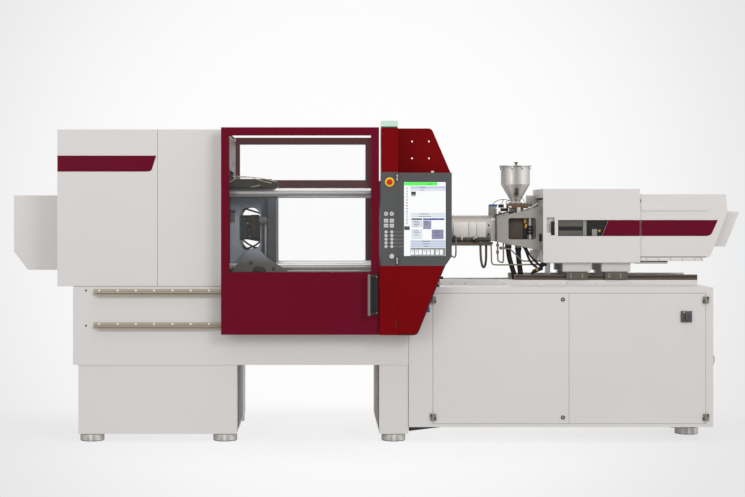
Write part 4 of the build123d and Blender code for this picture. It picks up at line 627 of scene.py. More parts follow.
def makeFloor(look):
    # pale floor that fades into the air, so that only the shadow under the feet is seen
    bpy.ops.object.select_all(action="DESELECT")
    bpy.ops.mesh.primitive_plane_add(size=2 * look["floorHalf"], location=(0, 0, -0.002))
    floor = bpy.context.active_object
    floor.name = "studio floor"
    settle(floor)
    material = bpy.data.materials.new("studio floor")
    material.use_nodes = True
    tree = material.node_tree
    tree.nodes.clear()
    output = addNode(tree, "ShaderNodeOutputMaterial", (800, 0))
    paper = addNode(tree, "ShaderNodeBsdfDiffuse", (200, 0))
    grey = look["floorGrey"]
    feed(tree, paper, {"Color": (grey, grey, grey, 1.0)})
    gone = addNode(tree, "ShaderNodeBsdfTransparent", (200, -200))
    where = addNode(tree, "ShaderNodeTexCoord", (-900, 0))
    flat = addNode(tree, "ShaderNodeMapping", (-700, 0))
    feed(tree, flat, {"Vector": where.outputs["Object"], "Scale": look["floorStretch"]})
    far = addNode(tree, "ShaderNodeVectorMath", (-500, 0), operation="LENGTH")
    feed(tree, far, {0: flat.outputs["Vector"]})
    fade = addRange(tree, (-300, 0), far.outputs["Value"], *look["floorFade"],
                    look["floorFaint"], interpolation_type="SMOOTHSTEP")
    mix = addNode(tree, "ShaderNodeMixShader", (500, 0))
    feed(tree, mix, {0: fade, 1: paper.outputs[0], 2: gone.outputs[0]})
    feed(tree, output, {"Surface": mix.outputs[0]})
    floor.data.materials.append(material)


lampLook = {
    "key": dict(place=(4.2, -7.5, 5.2), aim=(0.0, 0.0, 1.2), size=(3.2, 3.2), power=206),
    "fill": dict(place=(-5.5, -7.0, 3.0), aim=(-0.6, 0.0, 1.2), size=(4.0, 4.0), power=120),
    "top": dict(place=(0.0, -1.5, 6.5), aim=(0.0, 0.0, 1.0), size=(6.0, 3.0), power=94),
    "back": dict(place=(1.5, 6.5, 4.0), aim=(0.0, 0.0, 1.2), size=(5.0, 3.0), power=94),
}


def makeLamps(look):
    for name, values in look.items():
        data = bpy.data.lights.new(name + " lamp", "AREA")
        data.shape = "RECTANGLE"
        data.size, data.size_y = values["size"]
        data.energy = values["power"]
        lamp = bpy.data.objects.new(name + " lamp", data)
        bpy.context.collection.objects.link(lamp)
        lamp.location = values["place"]
        toward = Vector(values["aim"]) - Vector(values["place"])
        lamp.rotation_euler = toward.to_track_quat("-Z", "Y").to_euler()


cameraLook = {
    "place": (-0.3875, -10.495, 1.468),
    "lens": 73.77,
    "shiftRight": 0.06846,   # the picture is cut from beside and below the lens axis
    "shiftUp": -0.04362,
}


def makeCamera(look):
    data = bpy.data.cameras.new("shop camera")
    data.lens = look["lens"]
    data.sensor_width = 36.0
    data.shift_x = look["shiftRight"]
    data.shift_y = look["shiftUp"]
    data.clip_end = 200
    camera = bpy.data.objects.new("shop camera", data)
    bpy.context.collection.objects.link(camera)
    camera.location = look["place"]
    camera.rotation_euler = (math.radians(90), 0, 0)
    scene = bpy.context.scene
    scene.camera = camera
    scene.render.resolution_x = 745
    scene.render.resolution_y = 497
    scene.view_settings.view_transform = "Standard"


makeWorld(stageLook)
makeFloor(stageLook)
makeLamps(lampLook)
makeCamera(cameraLook)
print("stage, lamps and camera set")

# burgundy stripes on the light covers
stripeLook = {
    "film": 0.0006,
    "clamp": [(-2.1055, 1.7568), (-1.5318, 1.7568), (-1.5120, 1.7580), (-1.5000, 1.7615),
              (-1.4935, 1.7670), (-1.4895, 1.7750), (-1.4625, 1.8609), (-2.1055, 1.8609)],
    "coverFront": [(1.4940, 1.3335), (1.7500, 1.3335), (1.7500, 1.4410), (1.5380, 1.4410)],
    "coverRear": [(1.7615, 1.3335), (2.1930, 1.3335), (2.2130, 1.3360), (2.2260, 1.3420),
                  (2.2350, 1.3520), (2.2750, 1.4410), (1.7615, 1.4410)],
}


def makeStripes(look):
    film = look["film"]
    for name, face, body in (("clamp", -0.565, "machine"),
                             ("coverFront", -0.250, "injection_cover"),
                             ("coverRear", -0.240, "injection_unit")):
        stripe = plate(look[name], face - film, face + 0.0002)
        dress(stripe, name + "Stripe", "stripeFilm", body)


makeStripes(stripeLook)
print("stripes laid on")

# the picture on the operator's display, measured from its top left corner in millimetres
screenLook = {
    "left": 0.142, "top": 1.686, "front": -0.696,
    "fields": {
        "screenGreen": [(1, 1, 214, 22)],
        "screenWhite": [(1, 24, 38, 424), (42, 60, 266, 196), (114, 248, 176, 304),
                        (176, 306, 266, 372)],
        "screenSteel": [(42, 27, 266, 43), (42, 374, 266, 388), (42, 390, 266, 403),
                        (42, 405, 266, 418)],
        "screenMist": [(42, 45, 266, 58), (42, 198, 266, 212), (42, 214, 266, 226),
                       (48, 246, 116, 290), (48, 304, 116, 366)],
        "screenBlue": [(123, 233, 259, 243)],
        "screenLavender": [(123, 245, 175, 302), (178, 304, 254, 366)],
        "screenGrey": [(42, 422, 266, 474), (2, 284, 37, 308)],
        "screenDark": [(48, 233, 117, 243)],
    },
    # short plain dashes where the small print would be
    "dashes": [(100, 33, 40), (106, 51, 22), (60, 251, 34), (58, 261, 44), (62, 271, 38),
               (64, 281, 26), (132, 252, 22), (132, 262, 26), (132, 274, 22),
               (60, 312, 34), (60, 322, 40), (66, 338, 28), (196, 312, 38), (196, 322, 30),
               (196, 340, 34), (110, 380, 60), (120, 396, 44), (126, 411, 30),
               (100, 204, 60), (96, 219, 80), (150, 12, 30)],
    "tiles": [(44, 434), (70, 434), (94, 434), (120, 434), (146, 434), (172, 434), (204, 434),
              (230, 434)],
    "iconRows": 13,
}


def makeScreen(look):
    left, top, front = look["left"], look["top"], look["front"]

    def tile(x0, y0, x1, y1, depth):
        return block((left + x0 / 1000, front - depth, top - y1 / 1000),
                     (left + x1 / 1000, front + 0.0002, top - y0 / 1000))

    for finish, fields in look["fields"].items():
        tiles = [tile(*field, 0.0003) for field in fields]
        dress(join(tiles), finish + "Field", finish, "display_unit")
    marks = [tile(x, y, x + width, y + 2.6, 0.0006) for x, y, width in look["dashes"]]
    for row in range(look["iconRows"]):
        y = 38 + row * 18.5
        marks.append(tile(12, y, 26, y + 2.2, 0.0006))
        marks.append(tile(17, y + 4.5, 22, y + 9, 0.0006))
    marks += [tile(46, 62, 76, 82, 0.0006), tile(48, 85, 74, 90, 0.0006)]
    dress(join(marks), "screenMarks", "screenDark", "display_unit")
    whites = [tile(x, y, x + 20, y + 32, 0.0006) for x, y in look["tiles"]]
    dress(join(whites), "screenTiles", "screenWhite", "display_unit")
    blues = [tile(x + 5, 441, x + 15, 445, 0.0009) for x in (44, 70, 120, 146, 204)]
    dress(join(blues), "screenIcons", "screenBlue", "display_unit")
    rim = []
    for x0, y0, x1, y1 in ((-3, -3, 271, -0.2), (-3, 475.2, 271, 478), (-3, -0.2, -0.2, 475.2),
                           (268.2, -0.2, 271, 475.2)):
        rim.append(block((left + x0 / 1000, -0.6956, top - y1 / 1000),
                         (left + x1 / 1000, -0.6948, top - y0 / 1000)))
    dress(join(rim), "screenSeal", "sealBlack", "display_unit")


makeScreen(screenLook)
print("display picture drawn")

# key caps, their lead lines, and the ring round the emergency stop
panelLook = {
    "front": -0.695,
    "round": [(0.0266, 1.482, 0.0135), (0.0638, 1.482, 0.0135)],
    "square": [(0.0266, 1.438), (0.0638, 1.438), (0.0266, 1.406), (0.0638, 1.406)],
    "squareSize": (0.0276, 0.0244),
    "smallRows": [1.366, 1.3425, 1.319, 1.2955, 1.272],
    "smallRadius": 0.0102,
    "stop": (0.0497, 1.686),
    "stopRing": (0.0118, 0.0300),
}


def makePanel(look):
    front = look["front"]
    cap = front - 0.0012
    caps = []
    for x, z, radius in look["round"]:
        caps.append(rod((x, cap + 0.0002, z), (x, cap - 0.0008, z), radius, 32, 0.0003))
    width, height = look["squareSize"]
    for x, z in look["square"]:
        caps.append(block((x - width / 2, cap - 0.0008, z - height / 2),
                          (x + width / 2, cap + 0.0002, z + height / 2), 0.0006))
    for z in look["smallRows"]:
        for x in (0.0266, 0.0638):
            caps.append(rod((x, cap + 0.0002, z), (x, cap - 0.0008, z), look["smallRadius"],
                            24, 0.0003))
    dress(join(caps), "keyCaps", "keyGrey", "machine")
    marks = []
    for x, z, radius in look["round"]:
        marks.append(rod((x, cap - 0.0007, z), (x, cap - 0.0011, z), 0.0055, 20))
    for x, z in look["square"]:
        marks.append(block((x - 0.007, cap - 0.0011, z - 0.0014),
                           (x + 0.007, cap - 0.0007, z + 0.0014)))
    dress(join(marks), "keyMarks", "greyPlastic", "machine")
    leads = []
    slides = []
    for z in look["smallRows"]:
        leads.append(block((0.040, front - 0.0005, z - 0.0012),
                           (0.0505, front + 0.0002, z + 0.0012)))
        leads.append(block((0.077, front - 0.0005, z - 0.0012),
                           (0.1035, front + 0.0002, z + 0.0012)))
        slides.append(block((0.1055, front - 0.0005, z - 0.0012),
                            (0.1385, front + 0.0002, z + 0.0012)))
    dress(join(leads), "keyLeads", "greyPlastic", "machine")
    dress(join(slides), "displayLeads", "greyPlastic", "display_unit")
    inner, outer = look["stopRing"]
    stopRing = annulus(look["stop"], inner, outer, front - 0.0019, front + 0.0002)
    dress(stopRing, "stopRing", "stopYellow", "machine")


makePanel(panelLook)
print("keys and stop ring placed")

# black plate behind the front door's grip, and the edging round its window
doorLook = {
    "plate": [(-0.0690, 0.834), (-0.0640, 0.829), (-0.0290, 0.829), (-0.0240, 0.834),
              (-0.0240, 1.090), (-0.0290, 1.095), (-0.0640, 1.095), (-0.0690, 1.090)],
    "window": (-0.983, -0.067, 1.105, 1.989),
    "seal": 0.002,
    "screws": (0.846, 1.078),
}


def windowSeal(x0, x1, z0, z1, width, front, back):
    sides = [
        block((x0, front, z0), (x1, back, z0 + width)),
        block((x0, front, z1 - width), (x1, back, z1)),
        block((x0, front, z0 + width), (x0 + width, back, z1 - width)),
        block((x1 - width, front, z0 + width), (x1, back, z1 - width)),
    ]
    return join(sides)


def makeDoors(look):
    backing = plate(look["plate"], -0.6805, -0.6788, 0.0006)
    dress(backing, "gripPlate", "blackPlastic", "front_door")
    seal = windowSeal(*look["window"], look["seal"], -0.6500, -0.6452)
    dress(seal, "frontWindowSeal", "rearBurgundy", "front_door")
    screws = [screwHead((-0.0335, -0.6804, z), 0.0042, 0.0016) for z in look["screws"]]
    dress(join(screws), "gripScrews", "machinedSteel", "front_door")


makeDoors(doorLook)
print("door grip and seals placed")

# bright screws along the door tracks and on the sheet metal
screwLook = {
    "trackStart": -1.8317, "trackPitch": 0.1189, "trackCount": 15,
    "trackHeights": (0.984, 0.767), "trackRadius": 0.0070,
    "bed": [(-1.919, 0.984), (-1.919, 0.755)],
}


def makeScrews(look):
    x, radius = look["trackStart"], look["trackRadius"]
    shifts = [(place * look["trackPitch"], 0, z)
              for place in range(look["trackCount"]) for z in look["trackHeights"]]
    near = screwHead((x, -0.5728, 0), radius, 0.0035)
    far = rod((x, 0.5726, 0), (x, 0.5763, 0), radius, 16, 0.001)
    for model, name in ((near, "trackScrews"), (far, "rearTrackScrews")):
        screws = [copyTo(model, shift) for shift in shifts]
        bpy.data.objects.remove(model)
        dress(join(screws), name, "screwBright", "machine")
    dots = [screwHead((x, -0.5648, z), 0.0060, 0.0022) for x, z in look["bed"]]
    dress(join(dots), "bedScrews", "blackPlastic", "machine")


makeScrews(screwLook)
print("screws set")

# black edging and buffers on the lower guard skirt, small parts round the display
skirtLook = {
    "edging": [(0.406, 1.147), (0.2440, 0.742), (0.2330, 0.7185), (0.2230, 0.7075),
               (0.2100, 0.7025), (0.1160, 0.7025), (0.1160, 0.7080), (0.2085, 0.7080),
               (0.2200, 0.7125), (0.2285, 0.7220), (0.2385, 0.745), (0.3995, 1.147)],
    "hem": [(0.4060, 1.1470), (0.2440, 0.7420), (0.2330, 0.7185), (0.2230, 0.7075),
            (0.2100, 0.7030), (0.1960, 0.7030), (0.2080, 0.7120), (0.2260, 0.7420),
            (0.4050, 1.1468)],
    "buffers": [(0.373, 0.396, 1.070), (0.350, 0.372, 1.019)],
    "slots": [((0.0880, -0.6962, 0.748), (0.0930, -0.6948, 0.806)),
              ((0.0880, -0.6962, 1.153), (0.0930, -0.6948, 1.178))],
    "hinge": (0.098, -0.702),
    "fixedSleeves": ((1.6935, 1.7115), (1.1605, 1.1785)),
    "movingSleeves": ((1.7145, 1.7325), (1.1815, 1.1995)),
}


def makeSkirt(look):
    hem = plate(look["hem"], -0.6949, -0.6720)
    dress(hem, "skirtHem", "redCoat", "display_unit")
    edging = plate(look["edging"], -0.6956, -0.6948)
    dress(edging, "skirtEdging", "sealBlack", "display_unit")
    knobs = [rod((x0, -0.660, z), (x1, -0.660, z), 0.009, 20, 0.0015)
             for x0, x1, z in look["buffers"]]
    dress(join(knobs), "skirtBuffers", "blackRubber", "display_unit")
    dress(blocks(look["slots"], 0.0005), "columnLatch", "blackPlastic", "machine")
    x, y = look["hinge"]
    for name, heights, body in (("Fixed", look["fixedSleeves"], "machine"),
                                ("Moving", look["movingSleeves"], "display_unit")):
        sleeves = [rod((x, y, z0), (x, y, z1), 0.0064, 20, 0.0006) for z0, z1 in heights]
        dress(join(sleeves), "hingeSleeves" + name, "machinedSteel", body)


makeSkirt(skirtLook)
print("skirt edged")

# insulation shells, trough, latches and bands on the barrel cover
barrelLook = {
    "axis": 1.375,
    "shells": [(0.5114, 0.6125), (0.6165, 0.6650), (0.6680, 0.7330)],
    "radius": 0.1012, "halfAngle": 31,
    "trough": (0.4750, 0.7840, 0.1115, 42),
    "latches": [((0.6560, -0.1020, 1.300), (0.6700, -0.0860, 1.327)),
                ((0.5600, -0.1020, 1.303), (0.5740, -0.0860, 1.325))],
    "screws": (0.7520, (1.345, 1.405)),
    "bands": (0.4560, 0.6145, 0.7600),
}


def makeShell(x0, x1, radius, halfAngle, axis, way=1):
    # slice of a sleeve that looks at the operator, or down where the way is 2
    bpy.ops.object.select_all(action="DESELECT")
    bpy.ops.mesh.primitive_cylinder_add(
        vertices=72, radius=radius, depth=x1 - x0, end_fill_type="NOTHING",
        location=((x0 + x1) / 2, 0, axis), rotation=(0, math.pi / 2, 0),
    )
    shell = bpy.context.active_object
    settle(shell)
    selectOnly(shell)
    limit = -math.cos(math.radians(halfAngle))
    bpy.ops.object.mode_set(mode="EDIT")
    bpy.ops.mesh.select_all(action="DESELECT")
    bpy.ops.object.mode_set(mode="OBJECT")
    for face in shell.data.polygons:
        face.select = face.normal[way] > limit
    bpy.ops.object.mode_set(mode="EDIT")
    bpy.ops.mesh.delete(type="FACE")
    bpy.ops.mesh.select_all(action="SELECT")
    bpy.ops.mesh.normals_make_consistent(inside=False)
    bpy.ops.object.mode_set(mode="OBJECT")
    useModifier(shell, "SOLIDIFY", thickness=0.003, offset=1.0)
    useModifier(shell, "BEVEL", width=0.0012, segments=2, limit_method="ANGLE")
    bpy.ops.object.shade_smooth_by_angle(angle=math.radians(35))
    return shell


def makeBarrelDress(look):
    shells = [makeShell(x0, x1, look["radius"], look["halfAngle"], look["axis"])
              for x0, x1 in look["shells"]]
    dress(join(shells), "barrelShells", "insulationWhite", "injection_unit")
    x0, x1, radius, halfAngle = look["trough"]
    trough = makeShell(x0, x1, radius, halfAngle, look["axis"], 2)
    dress(trough, "barrelTrough", "troughBrown", "injection_unit")
    dress(blocks(look["latches"], 0.002), "barrelLatches", "machinedSteel", "injection_unit")
    x, heights = look["screws"]
    dots = [rod((x, -0.088, z), (x, -0.102, z), 0.006, 16, 0.001) for z in heights]
    dress(join(dots), "barrelScrews", "blackPlastic", "injection_unit")
    bands = [ring((x, 0, look["axis"]), 0.1003, 0.0012, "X", 64) for x in look["bands"]]
    dress(join(bands), "barrelBands", "brushedStainless", "injection_unit")


makeBarrelDress(barrelLook)
print("barrel dressed")

# coupling behind the window of the feed casting, its latch and the fitting under the hopper
feedFittings = {
    "boxFoot": ("castingEnamel", "injection_unit", "casting_paint",
        (block, (0.7611, -0.05, 1.4525), (0.811, 0.018, 1.4765), 0.002)),
    "feedPlate": ("plateOlive", "injection_unit", "casting_paint",
        (block, (0.8835, -0.0905, 1.311), (0.987, -0.084, 1.452), 0.002)),
    "feedBar": ("blackPlastic", "injection_unit", "black_plastic",
        (block, (0.989, -0.101, 1.311), (1.008, -0.084, 1.452), 0.002)),
    "feedBrass": ("brassYellow", "injection_unit", "machined_steel",
        (block, (0.99, -0.104, 1.418), (1.006, -0.1005, 1.448), 0.001),
        (block, (0.996, -0.104, 1.385), (1.012, -0.1005, 1.41), 0.001)),
    "feedShaft": ("machinedSteel", "injection_unit", "machined_steel",
        (rod, (1.032, -0.106, 1.31), (1.032, -0.106, 1.453), 0.015, 28)),
    "feedCollars": ("motorBlack", "injection_unit", "motor_black",
        (rod, (1.032, -0.106, 1.342), (1.032, -0.106, 1.36), 0.0215, 28, 0.0015),
        (rod, (1.032, -0.106, 1.364), (1.032, -0.106, 1.382), 0.0215, 28, 0.0015),
        (rod, (1.032, -0.106, 1.386), (1.032, -0.106, 1.402), 0.0215, 28, 0.0015)),
    "feedLatch": ("blackPlastic", "injection_unit", "black_plastic",
        (block, (1.088, -0.153, 1.296), (1.104, -0.144, 1.346), 0.0015),
        (block, (1.091, -0.158, 1.308), (1.101, -0.152, 1.334), 0.0015)),
    "hopperFitting": ("brushedStainless", "injection_unit", "stainless",
        (rod, (0.958, -0.078, 1.47), (0.958, -0.078, 1.527), 0.015, 24, 0.002),
        (rod, (0.958, -0.078, 1.459), (0.958, -0.078, 1.471), 0.0105, 24, 0.002),
        (rod, (0.958, -0.096, 1.496), (0.958, -0.078, 1.496), 0.007, 16, 0.001)),
}
feedLook = {
    "screws": [(0.828, 1.440), (0.828, 1.315), (1.098, 1.495), (1.098, 1.258)],
    "screwFace": -0.1448, "screwRadius": 0.0075,
    "flangeX": (0.7690, 0.7600), "flangeHalf": 0.060, "flangeHeights": (1.315, 1.435),
}


def makeFeedDress(look):
    radius = look["screwRadius"]
    screws = [screwHead((x, look["screwFace"], z), radius, 0.004) for x, z in look["screws"]]
    dress(join(screws), "castingScrews", "machinedSteel", "injection_unit")
    x0, x1 = look["flangeX"]
    bolts = [rod((x0, y, z), (x1, y, z), radius, 6, 0.001)
             for y in (-look["flangeHalf"], look["flangeHalf"]) for z in look["flangeHeights"]]
    dress(join(bolts), "flangeBolts", "machinedSteel", "injection_unit")


makeFittings(feedFittings)
makeFeedDress(feedLook)
print("feed casting dressed")

# sight glass, weld beads and clips on the hopper
hopperLook = {
    "axis": (0.945, 0.0),
    "slope": 30.3,      # degrees that the cone leans out
    "glass": (0.9440, 1.6360),
    "beads": [(1.684, 0.0994), (1.588, 0.0434)],
    "clips": [25, 70, 115, 155, 205, 250, 290, 335],
}


def leaning(low, high, pivot, degrees, edge):
    # block that leans forward about a line along the machine
    slab = block(low, high, edge)
    turn = math.radians(degrees)
    for vertex in slab.data.vertices:
        y = vertex.co.y - pivot[0]
        z = vertex.co.z - pivot[1]
        vertex.co.y = pivot[0] + y * math.cos(turn) - z * math.sin(turn)
        vertex.co.z = pivot[1] + y * math.sin(turn) + z * math.cos(turn)
    return slab


def makeHopperDress(look):
    x, z = look["glass"]
    y = -0.0715
    frameRim = leaning((x - 0.019, y - 0.0022, z - 0.036), (x + 0.019, y + 0.003, z + 0.036),
                       (y, z), look["slope"], 0.0015)
    dress(frameRim, "sightFrame", "brushedStainless", "injection_unit")
    glass = leaning((x - 0.013, y - 0.0034, z - 0.030), (x + 0.013, y - 0.0018, z + 0.030),
                    (y, z), look["slope"], 0.0008)
    dress(glass, "sightGlass", "resinBrown", "injection_unit")
    beads = [ring((look["axis"][0], 0, height), radius, 0.0013, "Z", 72)
             for height, radius in look["beads"]]
    rim = ring((look["axis"][0], 0, 1.8035), 0.1000, 0.0028, "Z", 72)
    dress(join(beads + [rim]), "hopperBeads", "brushedStainless", "injection_unit")
    clips = []
    for degrees in look["clips"]:
        angle = math.radians(degrees)
        cx = look["axis"][0] + 0.1035 * math.cos(angle)
        cy = 0.1035 * math.sin(angle)
        clips.append(block((cx - 0.007, cy - 0.004, 1.7860), (cx + 0.007, cy + 0.004, 1.8062),
                           0.001))
    dress(join(clips), "rimClips", "machinedSteel", "injection_unit")
    knob = join([rod((0.945, -0.04, 1.8130), (0.945, -0.04, 1.8300), 0.006, 20, 0.001),
                 rod((0.945, -0.04, 1.8290), (0.945, -0.04, 1.8370), 0.013, 28, 0.002)])
    dress(knob, "lidKnob", "blackPlastic", "hopper_lid")


makeHopperDress(hopperLook)
print("hopper dressed")

# hoses and conduit drawn through the same points as the solids
cordLook = {
    "frontHose": [(0.886, -0.085, 1.266), (0.886, -0.085, 1.212), (0.908, -0.083, 1.130),
                  (0.930, -0.080, 1.062), (0.930, -0.080, 0.993)],
    "rearHose": [(0.956, -0.070, 1.252), (0.956, -0.070, 1.198), (0.965, -0.072, 1.125),
                 (0.974, -0.071, 1.060), (0.974, -0.071, 0.993)],
    "conduit": [(0.700, -0.050, 1.280), (0.700, -0.050, 1.232), (0.702, -0.060, 1.177),
                (0.711, -0.046, 1.131), (0.726, -0.014, 1.112), (0.741, 0.018, 1.129),
                (0.748, 0.032, 1.175), (0.747, 0.026, 1.232), (0.747, 0.026, 1.272)],
    "collars": [(0.886, -0.085, 1.268, 1.250), (0.956, -0.070, 1.254, 1.236)],
}


def makeCords(look):
    front = wire("frontHose", look["frontHose"], 0.017, "blackRubber", "injection_unit",
                 6)
    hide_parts("coolant_hose_front")
    rear = wire("rearHose", look["rearHose"], 0.018, "blackRubber", "injection_unit",
                6)
    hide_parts("coolant_hose_rear")
    conduit = wire("conduitTube", look["conduit"], 0.008, "conduitGrey", "injection_unit",
                   5)
    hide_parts("cable_conduit")
    collars = []
    for x, y, z0, z1 in look["collars"]:
        collars.append(rod((x, y, z1), (x, y, z0), 0.0225, 28, 0.002))
        collars.append(rod((x, y, z1 - 0.012), (x, y, z1 + 0.001), 0.0200, 28, 0.002))
    dress(join(collars), "hoseCollars", "motorBlack", "injection_unit")


makeCords(cordLook)
print("hoses drawn")

# bent pipes, the shut-off valve and the cables under the feed casting
pipeLook = {
    "lower": [(0.7653, -0.118, 1.276), (0.7665, -0.124, 1.215), (0.7670, -0.125, 1.165),
              (0.7720, -0.125, 1.1380), (0.8050, -0.125, 1.1365), (0.8600, -0.125, 1.1362),
              (1.1000, -0.125, 1.1395)],
    "upper": [(0.8420, -0.122, 1.2485), (0.8870, -0.125, 1.2500), (0.9230, -0.125, 1.2160),
              (0.9560, -0.125, 1.1820), (0.9760, -0.125, 1.1620), (1.0100, -0.125, 1.1620),
              (1.0950, -0.125, 1.1629)],
    "nozzle": [(0.5275, -0.098, 1.3240), (0.5275, -0.106, 1.2519), (0.5270, -0.108, 1.2000),
               (0.5190, -0.108, 1.1860), (0.5060, -0.108, 1.1900), (0.4979, -0.104, 1.1965)],
    "valveLoop": [(0.8093, -0.120, 1.2200), (0.8100, -0.120, 1.1800), (0.8140, -0.120, 1.1600),
                  (0.8320, -0.120, 1.1540), (0.8480, -0.120, 1.1520), (0.8487, -0.120, 1.1750),
                  (0.8487, -0.120, 1.2850)],
    "cables": [[(0.9850, -0.110, 1.2600), (0.9992, -0.130, 1.2400), (1.0150, -0.135, 1.1850),
                (1.0450, -0.135, 1.1360), (1.0760, -0.135, 1.1180)],
               [(0.9980, -0.110, 1.2600), (1.0100, -0.130, 1.2300), (1.0452, -0.135, 1.1793),
                (1.0886, -0.135, 1.1360), (1.1150, -0.135, 1.1180)]],
    "pipeRadius": 0.0052, "cableRadius": 0.0082,
}
pipeFittings = {
    "shutOffValve": ("driveSteel", "injection_unit", "machined_steel",
        (rod, (0.8093, -0.12, 1.2961), (0.8093, -0.12, 1.205), 0.005, 20, 0.0012),
        (rod, (0.8093, -0.12, 1.2779), (0.8093, -0.12, 1.262), 0.0105, 20, 0.0012),
        (rod, (0.8093, -0.12, 1.233), (0.8093, -0.12, 1.213), 0.01, 20, 0.0012),
        (rod, (0.8193, -0.12, 1.2503), (0.8579, -0.12, 1.2503), 0.0065, 16, 0.001),
        (rod, (0.826, -0.12, 1.2503), (0.84, -0.12, 1.2503), 0.011, 6, 0.001)),
    "motorPlugs": ("motorBlack", "injection_unit", "motor_black",
        (rod, (1.1, -0.125, 1.14), (1.142, -0.125, 1.1412), 0.013, 24, 0.002),
        (rod, (1.112, -0.125, 1.14), (1.122, -0.125, 1.1412), 0.0165, 24, 0.002),
        (rod, (1.113, -0.133, 1.117), (1.048, -0.133, 1.09), 0.014, 24, 0.003),
        (rod, (1.056, -0.133, 1.094), (1.036, -0.133, 1.072), 0.0105, 24, 0.003)),
    "plugRings": ("brassYellow", "injection_unit", "machined_steel",
        (rod, (1.08, -0.138, 1.104), (1.069, -0.138, 1.099), 0.0125, 20, 0.001),
        (rod, (1.095, -0.125, 1.163), (1.1, -0.125, 1.163), 0.008, 20, 0.001)),
    "motorBracket": ("greyPlastic", "injection_unit", "casting_paint",
        (plate, [(1.0276, 1.2391), (1.0817, 1.2337), (1.0736, 1.1904), (1.0547, 1.1796),
         (1.0276, 1.2066)], -0.141, -0.137)),
    "bracketSide": ("lightCoat", "injection_unit", "light_paint",
        (plate, [(1.0817, 1.2337), (1.121, 1.23), (1.121, 1.174), (1.076, 1.1796)], -0.12, -0.112)),
    "coverLatches": ("motorBlack", "injection_unit", "motor_black",
        (rod, (0.5182, -0.104, 1.311), (0.5182, -0.098, 1.333), 0.0065, 16, 0.001),
        (block, (0.657, -0.105, 1.285), (0.678, -0.08, 1.317), 0.002)),
    "coverLatchKnob": ("machinedSteel", "injection_unit", "machined_steel",
        (rod, (0.65, -0.108, 1.3146), (0.65, -0.088, 1.316), 0.007, 20, 0.002)),
}


def makePipes(look):
    for name in ("lower", "upper", "nozzle", "valveLoop"):
        wire(name + "Pipe", look[name], look["pipeRadius"], "pipeSteel", "injection_unit",
             3)
    wires("motorCable", look["cables"], look["cableRadius"], "blackRubber", "injection_unit",
          4)


makePipes(pipeLook)
makeFittings(pipeFittings)
print("pipes bent")

# terminal box beside the hopper, its wires and lever, and a white block standing in for the
# brightly lit far wall of the cover, which is painted light
loaderFittings = {
    "terminalBox": ("greyPlastic", "injection_unit", "grey_plastic",
        (block, (0.7611, -0.055, 1.476), (0.811, 0.02, 1.535), 0.003)),
    "terminalLid": ("boxBlue", "injection_unit", "grey_plastic",
        (block, (0.762, -0.056, 1.5352), (0.8158, 0.021, 1.5483), 0.003)),
    "feedSensors": ("blackPlastic", "injection_unit", "black_plastic",
        (block, (0.824, -0.062, 1.525), (0.859, -0.03, 1.548), 0.003),
        (block, (0.838, -0.06, 1.5), (0.889, -0.03, 1.522), 0.003)),
    "feedLedge": ("baseBronze", "injection_unit", "casting_paint",
        (plate, [(0.802, 1.466), (0.93, 1.4975), (0.938, 1.51), (0.802, 1.479)], -0.09, 0.06,
         0.002)),
    "feedPins": ("machinedSteel", "injection_unit", "machined_steel",
        (rod, (0.8042, -0.066, 1.5153), (0.8042, -0.055, 1.5153), 0.0085, 20, 0.002),
        (rod, (0.826, -0.066, 1.486), (0.834, -0.066, 1.5), 0.0095, 20, 0.002)),
    "gateLever": ("machinedSteel", "injection_unit", "machined_steel",
        (rod, (0.99, -0.09, 1.5062), (1.056, -0.09, 1.533), 0.0052, 16),
        (rod, (1.052, -0.09, 1.531), (1.0888, -0.09, 1.55), 0.0075, 16, 0.002)),
    # a white block put where the far wall of the cover is seen brightly lit: painted light
    "litWallBlock": ("insulationWhite", "injection_unit", "light_paint",
        (block, (1.042, 0.15, 1.533), (1.12, 0.198, 1.613), 0.006, 3)),
}
loaderLook = {
    "wires": [[(0.7851, -0.045, 1.5426), (0.7900, -0.055, 1.5600), (0.8151, -0.060, 1.5740),
               (0.8532, -0.060, 1.5840), (0.8968, -0.050, 1.5753)],
              [(0.8450, -0.045, 1.5440), (0.8490, -0.055, 1.5700), (0.8587, -0.060, 1.5820)],
              [(0.8859, -0.060, 1.5450), (0.8700, -0.062, 1.5560), (0.8760, -0.062, 1.5710),
               (0.9023, -0.055, 1.5726)],
              [(0.9780, -0.055, 1.5960), (0.9900, -0.060, 1.5880), (1.0031, -0.060, 1.5570)]],
    "wireRadius": 0.0021,
}

makeFittings(loaderFittings)
wires("feedWire", loaderLook["wires"], loaderLook["wireRadius"], "blackRubber", "injection_unit")
print("loader box wired")

